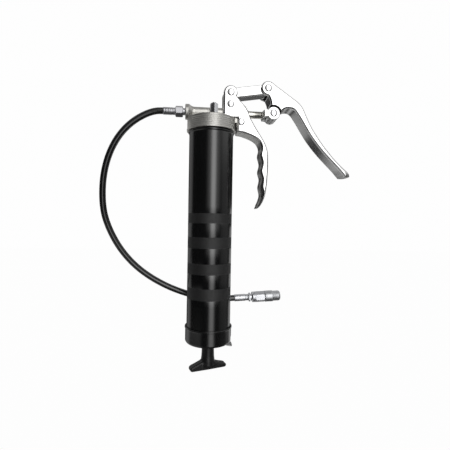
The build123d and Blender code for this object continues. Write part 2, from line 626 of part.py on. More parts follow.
# ---------------------------------------------------------------- write one file per piece
PIECES = (    # each file is named after the function that builds it
    barrel_tube, barrel_end_cap, rod_bushing, rod_release_latch, latch_pivot, latch_spring,
    follower_lower_plate, follower_cup, follower_upper_plate, follower_rod, rod_nut,
    follower_spring, tee_handle, head_casting, head_gasket, plunger_packing, packing_nut,
    outlet_check_ball, outlet_check_spring, hose_adapter, hose, hose_ferrule_inlet,
    hose_ferrule_outlet, hose_tip_fitting, coupler_body, coupler_sleeve, coupler_jaws,
    coupler_seal, coupler_spring, vent_valve_body, vent_valve_stem, vent_valve_spring,
    grip_casting, grip_rivets, link_pin_grip, link_pin_lever, clevis_pin, top_link, lever,
    pump_plunger, plunger_clevis, spring_collar, plunger_return_spring)

os.makedirs("parts", exist_ok=True)
for piece in PIECES:
    raised = [Pos(0, 0, LIFT) * solid for solid in piece().solids()]
    shape = raised[0] if len(raised) == 1 else Compound(children=raised)
    export_step(shape, "parts/" + piece.__name__ + ".step")
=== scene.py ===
"""Grease gun with a pistol grip and a hinged lever.

The barrel stands on the Z axis, end cap and tee handle at the bottom, cast head on top.
The pump runs along X through the head. The grip, link and lever reach towards +X, and the
hose leaves the head towards -X and curls down to the coupler on the +Y side.
Sizes are in millimetres unless said otherwise; meshes are made in metres.
"""
import math
from functools import reduce
from itertools import product

import bpy
import numpy as np
from mathutils import Matrix, Vector


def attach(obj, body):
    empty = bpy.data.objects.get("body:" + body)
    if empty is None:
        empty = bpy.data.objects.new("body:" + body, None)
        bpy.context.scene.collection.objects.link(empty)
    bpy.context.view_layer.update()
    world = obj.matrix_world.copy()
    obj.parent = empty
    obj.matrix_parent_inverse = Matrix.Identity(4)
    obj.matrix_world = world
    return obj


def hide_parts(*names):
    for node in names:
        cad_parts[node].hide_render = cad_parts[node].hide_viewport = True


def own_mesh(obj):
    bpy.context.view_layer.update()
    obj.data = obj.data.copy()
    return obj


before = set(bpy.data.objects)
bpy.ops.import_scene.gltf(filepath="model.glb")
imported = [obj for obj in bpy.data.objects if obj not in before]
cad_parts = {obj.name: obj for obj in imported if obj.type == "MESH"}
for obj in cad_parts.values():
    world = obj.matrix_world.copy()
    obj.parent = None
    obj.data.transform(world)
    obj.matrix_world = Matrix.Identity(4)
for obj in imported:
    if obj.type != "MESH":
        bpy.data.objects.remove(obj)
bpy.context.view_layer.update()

PI = math.pi
rad = math.radians


def shift(x, y, z):
    return Matrix.Translation((x / 1000, y / 1000, z / 1000))


# Turns of a lathed piece, whose axis is local X
AX_UP = Matrix(((0, 1, 0, 0), (0, 0, 1, 0), (1, 0, 0, 0), (0, 0, 0, 1)))     # X -> +Z, Y -> +X
AX_Y = Matrix(((0, 0, 1, 0), (1, 0, 0, 0), (0, 1, 0, 0), (0, 0, 0, 1)))      # X -> +Y

# ------------------------------------------------------------------ shared sizes
LIFT = 3.5              # heights are written from a datum this far above the end cap's foot
PUMP_Z = 294.3          # height of the pump axis
PUMP_AXIS = shift(0, 0, PUMP_Z)

# Pin and rivet centres (x, z); all of them lie along Y
GRIP_PIN = (23.5, 318.2)
LEVER_PIN = (71.8, 326.0)
CLEVIS_PIN = (79.4, PUMP_Z)
RIVETS = ((23.4, 303.3), (37.2, 281.0))
PIN_R, RIVET_R, HOLE_GAP = 2.5, 2.0, 0.05
PIN_HOLE_R = PIN_R + HOLE_GAP
RIVET_HOLE_R = RIVET_R + HOLE_GAP

# Half widths in Y
CHEEK_Y, SLOT_Y, LINK_Y, EYE_Y = 13.0, 9.7, 9.4, 4.8
CLEVIS_Y0, CLEVIS_Y1 = 5.1, 12.4      # inner and outer face of a clevis arm
# Radii seen along Y
LINK_R, CLEVIS_R, NOTCH_R = 6.4, 8.2, 10.5

# The link's length and direction, from grip pin to lever pin
LINK_DX = LEVER_PIN[0] - GRIP_PIN[0]
LINK_DZ = LEVER_PIN[1] - GRIP_PIN[1]
LINK_LENGTH = math.hypot(LINK_DX, LINK_DZ)

BARREL_R = 28.5
HEAD_BORE_R = BARREL_R + 0.06
VENT_XY = (2.2, -12.9)
HOSE_R, HOSE_BORE_R = 4.15, 2.1
FERRULE_BORE_R = HOSE_R + 0.06
TILT = rad(3.0)                       # the coupler's axis rises this much towards +X
COUPLER_AT = (35.4, 38.0, 43.9)
COUPLER = shift(*COUPLER_AT) @ Matrix.Rotation(-TILT, 4, "Y")


# ------------------------------------------------------------------ shader nodes
class Nodes:
    """A cleared node tree and short calls that add to it."""

    def __init__(self, tree):
        self.tree = tree
        tree.nodes.clear()

    def node(self, kind, **props):
        node = self.tree.nodes.new(kind)
        for key, value in props.items():
            setattr(node, key, value)
        return node

    def link(self, source, target):
        self.tree.links.new(source, target)

    def feed(self, target, value):
        """Sets a socket to a number, or links another socket to it."""
        if isinstance(value, (int, float)):
            target.default_value = value
        else:
            self.link(value, target)

    def math(self, operation, first, second=0.0):
        node = self.node("ShaderNodeMath", operation=operation)
        self.feed(node.inputs[0], first)
        self.feed(node.inputs[1], second)
        return node.outputs[0]

    def remap(self, value, to=(0.0, 1.0), source=(0.0, 1.0), **props):
        node = self.node("ShaderNodeMapRange", **props)
        node.inputs["From Min"].default_value, node.inputs["From Max"].default_value = source
        node.inputs["To Min"].default_value, node.inputs["To Max"].default_value = to
        self.link(value, node.inputs["Value"])
        return node.outputs["Result"]

    def camera_switch(self, lit, seen):
        """Shader 'seen' for camera rays, 'lit' for all others."""
        path = self.node("ShaderNodeLightPath")
        mix = self.node("ShaderNodeMixShader")
        self.link(path.outputs["Is Camera Ray"], mix.inputs[0])
        self.link(lit, mix.inputs[1])
        self.link(seen, mix.inputs[2])
        return mix.outputs[0]


class Shader(Nodes):
    """A Principled material patterned in object coordinates (metres)."""
    SOCKETS = {"color": "Base Color", "metal": "Metallic", "rough": "Roughness",
               "normal": "Normal", "spec": "Specular IOR Level"}

    def __init__(self, name):
        self.material = bpy.data.materials.new(name)
        self.material.use_nodes = True
        super().__init__(self.material.node_tree)
        self.output = self.node("ShaderNodeOutputMaterial")
        self.principled = self.node("ShaderNodeBsdfPrincipled")
        self.link(self.principled.outputs[0], self.output.inputs[0])
        self.coords = self.node("ShaderNodeTexCoord").outputs["Object"]

    def noise(self, scale, detail, rough, coords=None):
        node = self.node("ShaderNodeTexNoise")
        node.inputs["Scale"].default_value = scale
        node.inputs["Detail"].default_value = detail
        node.inputs["Roughness"].default_value = rough
        self.link(coords or self.coords, node.inputs["Vector"])
        return node.outputs["Fac"]

    def streaks(self, per_axis, detail):
        """Noise whose frequency differs along X, Y and Z."""
        node = self.node("ShaderNodeMapping")
        node.inputs["Scale"].default_value = per_axis
        self.link(self.coords, node.inputs["Vector"])
        return self.noise(scale=1.0, detail=detail, rough=0.7, coords=node.outputs["Vector"])

    def ramp(self, value, *stops):
        """Colour ramp through two (position, colour) stops."""
        node = self.node("ShaderNodeValToRGB")
        for element, (position, color) in zip(node.color_ramp.elements, stops):
            element.position = position
            element.color = (*color, 1)
        self.link(value, node.inputs[0])
        return node.outputs["Color"]

    def mix(self, amount, under, over):
        node = self.node("ShaderNodeMix", data_type="RGBA")
        self.link(amount, node.inputs[0])
        self.link(under, node.inputs[6])
        node.inputs[7].default_value = (*over, 1)
        return node.outputs[2]

    def worn(self, color, radius, amount, tint):
        """Tints the edges, found where a bevelled normal leaves the true one."""
        bevel = self.node("ShaderNodeBevel")
        bevel.samples = 4
        bevel.inputs["Radius"].default_value = radius
        geometry = self.node("ShaderNodeNewGeometry")
        dot = self.node("ShaderNodeVectorMath", operation="DOT_PRODUCT")
        self.link(bevel.outputs[0], dot.inputs[0])
        self.link(geometry.outputs["Normal"], dot.inputs[1])
        edge = self.remap(dot.outputs["Value"], to=(1.0, 0.0), source=(0.8, 0.995))
        return self.mix(self.math("MULTIPLY", edge, amount), color, tint)

    def bump(self, height, strength, depth, under=None):
        node = self.node("ShaderNodeBump")
        node.inputs["Strength"].default_value = strength
        node.inputs["Distance"].default_value = depth
        self.link(height, node.inputs["Height"])
        if under is not None:
            self.link(under, node.inputs["Normal"])
        return node.outputs["Normal"]

    def finish(self, **values):
        for key, value in values.items():
            self.feed(self.principled.inputs[self.SOCKETS[key]], value)
        return self.material


def grey(value):
    return (value, value, value)


def shade(color, factor):
    return tuple(min(1, channel * factor) for channel in color)


# ------------------------------------------------------------------ materials
def enamel(name):
    shader = Shader(name)
    cloud = shader.noise(scale=14, detail=3, rough=0.5)
    fine = shader.noise(scale=900, detail=2, rough=0.6)
    color = shader.ramp(cloud, (0.3, (0.0026, 0.0028, 0.0031)), (0.7, (0.0045, 0.0047, 0.0050)))
    color = shader.worn(color, radius=0.0005, amount=0.12, tint=grey(0.06))
    return shader, color, cloud, fine


def smooth_enamel():
    shader, color, cloud, fine = enamel("black_enamel")
    rough = shader.math("ADD", shader.remap(cloud, to=(0.17, 0.21)),
                        shader.remap(fine, to=(-0.01, 0.02)))
    normal = shader.bump(fine, strength=0.03, depth=0.00001)
    return shader.finish(color=color, rough=rough, normal=normal, spec=0.9)


def knurled_enamel():
    shader, color, _, fine = enamel("black_knurled_band")
    rough = shader.remap(fine, to=(0.50, 0.66))
    grain = shader.noise(scale=2600, detail=2, rough=0.7)
    normal = shader.bump(grain, strength=0.35, depth=0.00006)
    dust = shader.remap(shader.noise(scale=60, detail=3, rough=0.6), to=(0.0, 0.5))
    color = shader.mix(dust, color, (0.009, 0.009, 0.0095))
    return shader.finish(color=color, rough=rough, normal=normal, spec=0.8)


def moulded_plastic():
    shader = Shader("black_moulded_plastic")
    cloud = shader.noise(scale=40, detail=4, rough=0.6)
    grain = shader.noise(scale=2400, detail=3, rough=0.6)
    color = shader.ramp(cloud, (0.3, (0.0040, 0.0040, 0.0043)), (0.7, (0.0080, 0.0080, 0.0084)))
    color = shader.worn(color, radius=0.0012, amount=0.10, tint=grey(0.05))
    return shader.finish(color=color, rough=shader.remap(cloud, to=(0.36, 0.48)),
                         normal=shader.bump(grain, strength=0.18, depth=0.00005), spec=0.5)


def casting(name, base, rough, grain=0.3, turned=False):
    """Mottled die-cast alloy with soft grain, and turned rings across Z where asked."""
    shader = Shader(name)
    blotch = shader.noise(scale=55, detail=4, rough=0.6)
    fine = shader.noise(scale=1500, detail=3, rough=0.65)
    dark = shade(base, 0.80)
    color = shader.ramp(blotch, (0.28, dark), (0.72, shade(base, 1.12)))
    color = shader.worn(color, radius=0.0008, amount=0.35, tint=shade(base, 1.25))
    normal = shader.bump(fine, strength=grain, depth=0.00005)
    roughness = shader.remap(blotch, to=rough)
    if turned:
        rings = shader.streaks((30, 30, 1500), detail=2)
        normal = shader.bump(rings, strength=0.35, depth=0.00008, under=normal)
        color = shader.mix(shader.remap(rings, to=(0.0, 0.35)), color, dark)
        roughness = shader.math("ADD", roughness, shader.remap(rings, to=(-0.05, 0.08)))
    return shader.finish(color=color, metal=1.0, rough=roughness, normal=normal)


def polished_casting():
    """Buffed casting: faint strokes along X, soft cloud of tone, bright worn edges."""
    shader = Shader("polished_casting")
    cloud = shader.noise(scale=30, detail=4, rough=0.55)
    strokes = shader.streaks((160, 1400, 700), detail=3)
    specks = shader.noise(scale=1100, detail=2, rough=0.6)
    color = shader.ramp(cloud, (0.3, grey(0.70)), (0.7, (0.78, 0.78, 0.775)))
    color = shader.worn(color, radius=0.0008, amount=0.5, tint=grey(0.95))
    speck_amount = shader.remap(specks, to=(0.0, 0.25), source=(0.62, 0.8))
    color = shader.mix(speck_amount, color, (0.55, 0.55, 0.56))
    rough = shader.math("ADD", shader.remap(cloud, to=(0.13, 0.19)),
                        shader.remap(strokes, to=(-0.02, 0.05)))
    normal = shader.bump(strokes, strength=0.08, depth=0.00003)
    normal = shader.bump(specks, strength=0.06, depth=0.00004, under=normal)
    return shader.finish(color=color, metal=1.0, rough=rough, normal=normal)


def plated(name, base, rough, axis="x"):
    """Plated or turned metal: tool rings across the axis and a cloudy tone."""
    shader = Shader(name)
    cloud = shader.noise(scale=90, detail=4, rough=0.6)
    along, across = 2200, 40
    rings = shader.streaks(tuple(along if key == axis else across for key in "xyz"), detail=2)
    color = shader.ramp(cloud, (0.3, shade(base, 0.85)), (0.7, base))
    color = shader.worn(color, radius=0.0004, amount=0.4, tint=grey(0.92))
    roughness = shader.math("ADD", shader.remap(cloud, to=rough),
                            shader.remap(rings, to=(-0.03, 0.06)))
    return shader.finish(color=color, metal=1.0, rough=roughness,
                         normal=shader.bump(rings, strength=0.15, depth=0.00004))


def rubber(name):
    shader = Shader(name)
    cloud = shader.noise(scale=80, detail=4, rough=0.6)
    fine = shader.noise(scale=1800, detail=3, rough=0.6)
    color = shader.ramp(cloud, (0.3, (0.0035, 0.0035, 0.0038)), (0.75, grey(0.0075)))
    return shader.finish(color=color, rough=shader.remap(cloud, to=(0.19, 0.26)),
                         normal=shader.bump(fine, strength=0.10, depth=0.00004), spec=0.85)


MAT = {
    "paint": smooth_enamel(),
    "knurl": knurled_enamel(),
    "plastic": moulded_plastic(),
    "zinc_turned": casting("turned_casting", base=(0.66, 0.65, 0.62), rough=(0.40, 0.48),
                           grain=0.12, turned=True),
    "zinc": casting("as_cast_alloy", base=(0.60, 0.59, 0.56), rough=(0.33, 0.45)),
    "polish": polished_casting(),
    # painted shade: the lower finger side gets a darker base that stands in for its dark
    # reflection of the barrel and the dim surroundings
    "fingers": casting("finger_side_painted_shade", base=(0.36, 0.36, 0.355), rough=(0.32, 0.42)),
    "guard": casting("as_cast_guard", base=(0.88, 0.88, 0.86), rough=(0.52, 0.62)),
    "adapter": plated("zinc_plate_fittings", base=(0.50, 0.50, 0.52), rough=(0.26, 0.36)),
    "tongue": plated("latch_plate", base=grey(0.48), rough=(0.34, 0.46)),
    # painted shade: a dark base for faces inside the grip's channel and the lever's notches and
    # slot, where shade falls
    "recess": casting("recess_painted_shade", base=(0.16, 0.16, 0.155), rough=(0.42, 0.55),
                      grain=0.4),
    "plate_x": plated("zinc_plate_x", base=(0.78, 0.79, 0.82), rough=(0.28, 0.38)),
    "plate_z": plated("zinc_plate_z", base=(0.76, 0.77, 0.79), rough=(0.20, 0.30), axis="z"),
    "rivet": plated("rivet_plate", base=(0.86, 0.86, 0.87), rough=(0.18, 0.28), axis="y"),
    "sleeve": plated("satin_sleeve", base=(0.66, 0.67, 0.69), rough=(0.34, 0.44)),
    "rod": plated("ground_rod", base=(0.78, 0.76, 0.70), rough=(0.16, 0.24)),
    "rod_z": plated("ground_rod_z", base=(0.78, 0.76, 0.72), rough=(0.16, 0.24), axis="z"),
    "spring": plated("spring_wire", base=(0.40, 0.40, 0.41), rough=(0.30, 0.42), axis="z"),
    "brass": plated("turned_brass", base=(0.80, 0.60, 0.28), rough=(0.24, 0.34)),
    "hose": rubber("hose_rubber"),
    "seal": rubber("seal_rubber"),
}


# ------------------------------------------------------------------ meshes
def placed(verts, matrix):
    """Points in mm, scaled to metres and moved by the matrix."""
    move = np.array(matrix)
    return verts / 1000 @ move[:3, :3].T + move[:3, 3]


def finish_mesh(name, verts, faces, mats, body, node, normals=None, angle=None,
                face_mats=None):
    """Makes the object from points in metres, with its shading and its frame entries."""
    verts = verts + np.array((0.0, 0.0, LIFT / 1000))
    mesh = bpy.data.meshes.new(name)
    mesh.from_pydata(verts.tolist(), [], faces)
    for key in mats:
        mesh.materials.append(MAT[key])
    if face_mats is not None:
        mesh.polygons.foreach_set("material_index", np.asarray(face_mats, np.int32))
    mesh.validate(clean_customdata=False)
    mesh.update()
    mesh.polygons.foreach_set("use_smooth", np.ones(len(mesh.polygons), bool))
    if angle is not None:
        mesh.set_sharp_from_angle(angle=rad(angle))
    if normals is not None:
        mesh.normals_split_custom_set_from_vertices(normals.tolist())
    piece = bpy.data.objects.new(name, mesh)
    bpy.context.scene.collection.objects.link(piece)
    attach(piece, body)
    if node:
        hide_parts(node)


def ring_faces(rings, segs, closed=True):
    """Quads between successive rings of points."""
    here = np.arange(segs)
    beside = (here + 1) % segs
    faces = []
    for i in range(rings if closed else rings - 1):
        j = (i + 1) % rings
        faces.append(np.stack([i * segs + here, j * segs + here,
                               j * segs + beside, i * segs + beside], -1))
    return np.concatenate(faces)


def merge_poles(verts, faces):
    """Merges points that sit on the axis, so no zero-area faces are left."""
    keepers = {}
    target = np.arange(len(verts))
    for i in np.nonzero(np.hypot(verts[:, 1], verts[:, 2]) < 1e-4)[0]:
        target[i] = keepers.setdefault(round(float(verts[i, 0]), 5), i)
    merged = [list(dict.fromkeys(face)) for face in target[faces].tolist()]
    merged = [face for face in merged if len(face) > 2]
    used = np.unique(np.concatenate(merged))
    number = np.zeros(len(verts), int)
    number[used] = np.arange(len(used))
    return verts[used], [number[face].tolist() for face in merged]


def outward(verts, faces):
    """Turns the faces so that the closed surface's volume is positive."""
    volume = 0.0
    for face in faces:
        for k in range(1, len(face) - 1):
            side = np.cross(verts[face[k]], verts[face[k + 1]])
            volume += float(np.dot(verts[face[0]], side))
    if volume < 0:
        faces = [list(reversed(face)) for face in faces]
    return verts, faces


def spin(profile, segs, rule=None, closed=True):
    """Turns (station, radius) rows about local X.

    rule(theta, station, radius) may change the radii.
    """
    rows = np.asarray(profile, float)
    theta = np.linspace(0, 2 * PI, segs, endpoint=False)[None, :]
    station = rows[:, 0][:, None] + 0 * theta
    radius = rows[:, 1][:, None] + 0 * theta
    if rule is not None:
        radius = rule(theta + 0 * radius, station, radius)
    points = np.stack([station, radius * np.cos(theta), radius * np.sin(theta)], -1)
    faces = ring_faces(len(rows), segs, closed)
    return outward(*merge_poles(points.reshape(-1, 3), faces))


def lathe(name, profile, mat, node, matrix, segs, angle=32, rule=None, closed=True,
          body="root"):
    verts, faces = spin(profile, segs, rule, closed)
    finish_mesh(name, placed(verts, matrix), faces, [mat], body, node, angle=angle)


# ------------------------------------------------------------------ distance fields
# A field is negative inside the solid. Castings and moulded parts are built from them.
def blend(first, second, run):
    """Smooth union."""
    share = np.clip(0.5 + 0.5 * (second - first) / run, 0, 1)
    return second + (first - second) * share - run * share * (1 - share)


def meet(*fields):
    return reduce(np.maximum, fields)


def cut(body, *tool):
    """Takes the meeting of the tool's fields out of the body."""
    return np.maximum(body, -meet(*tool))


def between(value, low, high):
    return np.maximum(low - value, value - high)


def circle(x, z, center, radius):
    return np.hypot(x - center[0], z - center[1]) - radius


def rounded(outline, depth, radius):
    """An outline's field carried through a depth field, edges rounded by radius."""
    first, second = outline + radius, depth + radius
    corner = np.hypot(np.maximum(first, 0), np.maximum(second, 0))
    return np.minimum(np.maximum(first, second), 0) + corner - radius


def polygon(points):
    """Field of a closed outline of (x, z) points."""
    starts = np.asarray(points, float)
    ends = np.roll(starts, -1, axis=0)

    def distance(x, z):
        x, z = np.broadcast_arrays(x, z)
        nearest = np.full(x.shape, 1e18)
        sign = np.ones(x.shape)
        for (x0, z0), (x1, z1) in zip(starts, ends):
            edge_x, edge_z = x1 - x0, z1 - z0
            to_x, to_z = x - x0, z - z0
            t = (to_x * edge_x + to_z * edge_z) / (edge_x * edge_x + edge_z * edge_z + 1e-12)
            t = np.clip(t, 0, 1)
            off_x, off_z = to_x - edge_x * t, to_z - edge_z * t
            nearest = np.minimum(nearest, off_x * off_x + off_z * off_z)
            above, below, left = z >= z0, z < z1, edge_x * to_z > edge_z * to_x
            sign = np.where((above & below & left) | (~above & ~below & ~left), -sign, sign)
        return sign * np.sqrt(nearest)
    return distance


def catmull(points):
    """Smooth curve through the points, in steps of about 1 mm."""
    knots = np.asarray(points, float)
    knots = np.vstack([2 * knots[0] - knots[1], knots, 2 * knots[-1] - knots[-2]])
    curve = []
    for i in range(1, len(knots) - 2):
        before, start, end, after = knots[i - 1:i + 3]
        steps = max(2, int(np.linalg.norm(end - start)))
        for k in range(steps):
            t = k / steps
            curve.append(0.5 * (2 * start + (end - before) * t
                                + (2 * before - 5 * start + 4 * end - after) * t * t
                                + (3 * start - before - 3 * end + after) * t ** 3))
    curve.append(knots[-2])
    return [tuple(point) for point in curve]


def surface_net(field, low, high, cell):
    """Quad mesh of field = 0, with one point in each grid cell the surface crosses."""
    axes = [np.arange(low[i] - 2 * cell, high[i] + 2 * cell + cell * 0.5, cell)
            for i in range(3)]
    values = field(axes[0][:, None, None], axes[1][None, :, None], axes[2][None, None, :])
    values = np.broadcast_to(values, [len(axis) for axis in axes])
    values = np.ascontiguousarray(values, float)
    inside = values < 0
    cells_x, cells_y, cells_z = [size - 1 for size in inside.shape]
    corners = list(product((0, 1), repeat=3))
    count = np.zeros((cells_x, cells_y, cells_z), np.int8)
    for i, j, k in corners:
        count += inside[i:cells_x + i, j:cells_y + j, k:cells_z + k]
    crossed = (count > 0) & (count < 8)
    cells = np.argwhere(crossed)
    index = -np.ones(crossed.shape, np.int64)
    index[crossed] = np.arange(len(cells))
    at_corner = {(i, j, k): values[cells[:, 0] + i, cells[:, 1] + j, cells[:, 2] + k]
                 for i, j, k in corners}

    # each point is the mean of the crossings on its cell's edges
    total = np.zeros((len(cells), 3))
    number = np.zeros(len(cells))
    for axis in range(3):
        for start in (corner for corner in corners if corner[axis] == 0):
            end = list(start)
            end[axis] = 1
            first, second = at_corner[start], at_corner[tuple(end)]
            crosses = (first < 0) != (second < 0)
            t = np.where(crosses, first / np.where(crosses, first - second, 1), 0)
            place = np.tile(np.array(start, float), (len(cells), 1))
            place[:, axis] = t
            total += np.where(crosses[:, None], place, 0)
            number += crosses
    verts = (cells + total / number[:, None]) * cell + np.array([axis[0] for axis in axes])

    # a quad round every grid edge that the surface crosses
    faces = []
    for axis, (side, other) in enumerate([(1, 2), (2, 0), (0, 1)]):
        edges = np.argwhere(np.diff(inside, axis=axis))
        edges = edges[(edges[:, side] > 0) & (edges[:, other] > 0)
                      & (edges[:, side] < crossed.shape[side])
                      & (edges[:, other] < crossed.shape[other])]
        starts_inside = inside[tuple(edges.T)]
        quad = []
        for step_side, step_other in ((-1, -1), (0, -1), (0, 0), (-1, 0)):
            near = edges.copy()
            near[:, side] += step_side
            near[:, other] += step_other
            quad.append(index[tuple(near.T)])
        quad = np.stack(quad, -1)
        quad[~starts_inside] = quad[~starts_inside][:, ::-1]
        faces.append(quad)
    return verts, np.concatenate(faces)


def gradient(field, verts, step):
    slope = np.zeros_like(verts)
    for axis in range(3):
        ahead, behind = verts.copy(), verts.copy()
        ahead[:, axis] += step
        behind[:, axis] -= step
        slope[:, axis] = (field(*ahead.T) - field(*behind.T)) / (2 * step)
    return slope


def field_piece(name, field, low, high, cell, mats, node, body="root", pick=None):
    """Meshes a field inside a box; pick(face centres) gives the material numbers."""
    verts, quads = surface_net(field, low, high, cell)
    for _ in range(2):      # draw the points onto the surface
        slope = gradient(field, verts, 0.12)
        steep = np.maximum((slope ** 2).sum(1), 0.2)
        step = field(*verts.T)[:, None] * slope / steep[:, None]
        length = np.linalg.norm(step, axis=1, keepdims=True)
        verts = verts - step * np.minimum(1, 0.4 * cell / np.maximum(length, 1e-9))
    slope = gradient(field, verts, 0.2)
    normals = slope / np.maximum(np.linalg.norm(slope, axis=1, keepdims=True), 1e-9)
    face_mats = pick(verts[quads].mean(1)) if pick else None
    finish_mesh(name, verts / 1000, quads.tolist(), mats, body, node, normals=normals,
                face_mats=face_mats)


# ------------------------------------------------------------------ barrel
BANDS = [(54.6, 69.4), (86.6, 100.1), (119.2, 133.2), (150.7, 163.2)]   # knurled, z from-to
KNURL_COUNT = 116       # grooves round the barrel, each way
KNURL_DEPTH, BAND_SINK = 0.16, 0.10
KNURL_STEP = 0.32       # between rows inside a band
BARREL_TOP, BARREL_BORE_R = 280.0, 27.3
BEAD_Z, BEAD_HALF, BEAD_RISE = 267.0, 1.75, 1.1
BEAD_ARC = rad(70)


def band_fade(z, run):
    """1 inside the bands, falling to 0 over the run at their ends."""
    fade = np.zeros_like(z)
    for z0, z1 in BANDS:
        fade = np.maximum(fade, np.clip(np.minimum(z - z0, z1 - z) / run, 0, 1))
    return fade


def knurled_radius(theta, z, radius):
    """Crossed shallow grooves inside each band of the outer wall."""
    twist = KNURL_COUNT / BARREL_R
    crossed = (np.cos(KNURL_COUNT * theta + twist * z)
               + np.cos(KNURL_COUNT * theta - twist * z))
    height = band_fade(z, 0.6) * (0.5 * crossed * 0.5)
    change = KNURL_DEPTH * height - BAND_SINK * band_fade(z, 0.4)
    return radius + np.where(radius > BARREL_R - 0.05, change, 0)


def build_barrel():
    rows = [(7.0, 28.2), (7.0, 28.42), (7.15, BARREL_R), (17.5, BARREL_R)]
    reached = 17.5
    for z0, z1 in BANDS:
        steps = max(1, int((z0 - reached) / 8))
        for k in range(1, steps + 1):
            rows.append((reached + (z0 - reached) * k / steps, BARREL_R))
        for k in range(1, int((z1 - z0) / KNURL_STEP)):
            rows.append((z0 + KNURL_STEP * k, BARREL_R))
        rows.append((z1, BARREL_R))
        reached = z1
    for k in range(1, 13):
        rows.append((reached + (264.6 - reached) * k / 12, BARREL_R))
    for k in range(13):     # bead below the head
        turn = rad(-70 + 140 * k / 12)
        rise = (math.cos(turn) - math.cos(BEAD_ARC)) / (1 - math.cos(BEAD_ARC))
        rows.append((BEAD_Z + BEAD_HALF * math.sin(turn) / math.sin(BEAD_ARC),
                     BARREL_R + BEAD_RISE * rise))
    rows += [(269.4, BARREL_R), (279.9, BARREL_R), (BARREL_TOP, 28.4), (BARREL_TOP, 27.4),
             (279.8, BARREL_BORE_R), (150.0, BARREL_BORE_R), (7.2, BARREL_BORE_R), (7.0, 27.5)]
    verts, faces = spin(rows, 696, knurled_radius)
    face_mats = []
    for face in faces:
        middle = (verts[face[0], 0] + verts[face[2], 0]) / 2
        outer = math.hypot(verts[face[0], 1], verts[face[0], 2]) > 28
        face_mats.append(int(outer and any(z0 <= middle <= z1 for z0, z1 in BANDS)))
    finish_mesh("barrel_shell", placed(verts, AX_UP), faces, ["paint", "knurl"], "root",
                "barrel_tube", angle=50, face_mats=face_mats)


# ------------------------------------------------------------------ end cap
CAP_R = 30.0
CAP_FLOOR = 4.6         # height of the underside inside the foot ring
CAP_BORE_R = 4.56
CAP_FOOT_R = 22.0       # inner radius of the foot ring
CAP_SLOT_HALF = 8.8     # the slot through the foot ring faces +X


def round_profile(points, reach, steps):
    """Rounds the corners of a closed profile, starting at most 'reach' from each."""
    result = []
    for i, point in enumerate(points):
        corner = np.array(point, float)
        back = np.array(points[i - 1], float) - corner
        ahead = np.array(points[(i + 1) % len(points)], float) - corner
        back_length, ahead_length = np.linalg.norm(back), np.linalg.norm(ahead)
        if np.dot(back, ahead) / back_length / ahead_length < -0.985:   # almost straight
            result.append(tuple(corner))
            continue
        trim = min(reach, back_length * 0.45, ahead_length * 0.45)
        start = corner + back / back_length * trim
        end = corner + ahead / ahead_length * trim
        for k in range(steps + 1):
            t = k / steps
            result.append(tuple((1 - t) ** 2 * start + 2 * t * (1 - t) * corner + t * t * end))
    return result


def build_cap():
    profile = [(-LIFT, CAP_FOOT_R)]
    for i in range(13):
        turn = rad(-90 + 7.5 * i)
        profile.append((LIFT * math.sin(turn), CAP_R - 3.4 + 3.4 * math.cos(turn)))
    profile += [(15.0, CAP_R), (15.35, 30.05), (15.7, 30.6), (16.1, 30.7), (17.0, 30.7),
                (17.45, 30.55), (17.6, 30.2), (17.6, 28.6), (7.0, 28.56), (7.0, CAP_BORE_R),
                (CAP_FLOOR, CAP_BORE_R), (CAP_FLOOR, CAP_FOOT_R)]
    verts, faces = spin(round_profile(profile, 0.3, 2), 288)
    theta = np.arctan2(verts[:, 2], verts[:, 1])
    radius = np.hypot(verts[:, 1], verts[:, 2])
    slot_turn = np.arcsin(np.clip(CAP_SLOT_HALF / np.maximum(radius, 9), 0, 1))
    in_slot = (np.abs(theta) < slot_turn) & (radius > 17.0) & (verts[:, 0] < CAP_FLOOR)
    verts[in_slot, 0] = CAP_FLOOR
    # the raised points leave flat faces with no area
    solid = []
    for face in faces:
        corners = verts[face]
        area = np.cross(corners[2] - corners[0], corners[3] - corners[1])
        if np.linalg.norm(area) > 1e-7:
            solid.append(face)
    finish_mesh("end_cap_shell", placed(verts, AX_UP), solid, ["paint"], "root",
                "barrel_end_cap", angle=40)


# ------------------------------------------------------------------ head
SKIRT_R = 31.3
GROOVE_PITCH = 2.36
GROOVE = [(0, 0), (1.3, 0), (1.55, 0.16), (1.8, 0.21), (2.05, 0.16), (2.3, 0)]  # along, depth
SKIRT_BOTTOM, SKIRT_SHOULDER, SKIRT_TOP = 269.0, 282.0, 286.0

HOUSE_X = (-31.0, 16.0)         # pump housing, from - to
FLANGE_X = (-34.2, -28.7)
HOUSE_R, FLANGE_R, PUMP_BORE_R = 6.8, 9.9, 4.05
WEB_Y = 5.4
LUG_Y = 9.64
LUG = [  # (x, z) outline of the lug that the grip is riveted to
    (14.8, 280.0), (14.8, 306.5), (16.6, 308.4), (29.0, 308.4), (34.5, 304.2), (42.5, 302.6),
    (45.0, 300.0), (45.0, 280.0), (41.5, 275.0), (38.0, 274.2), (31.6, 274.2), (31.6, 280.0)]


def build_head_ring():
    ring = [(SKIRT_BOTTOM, HEAD_BORE_R), (SKIRT_BOTTOM, 31.5), (269.25, 31.75), (271.2, 31.8),
            (271.5, 31.6), (271.7, 31.25)]
    groove_z = 271.9
    while groove_z < 283.6:
        ring += [(groove_z + along, SKIRT_R - depth) for along, depth in GROOVE]
        groove_z += GROOVE_PITCH
    ring += [(285.1, 31.25), (285.7, 30.9), (SKIRT_TOP, 30.35), (SKIRT_TOP, 20.0),
             (283.0, 20.0), (SKIRT_SHOULDER, 21.0), (SKIRT_SHOULDER, HEAD_BORE_R)]
    lathe("head_ring", ring, "zinc_turned", "head_casting", AX_UP, segs=256, angle=38)


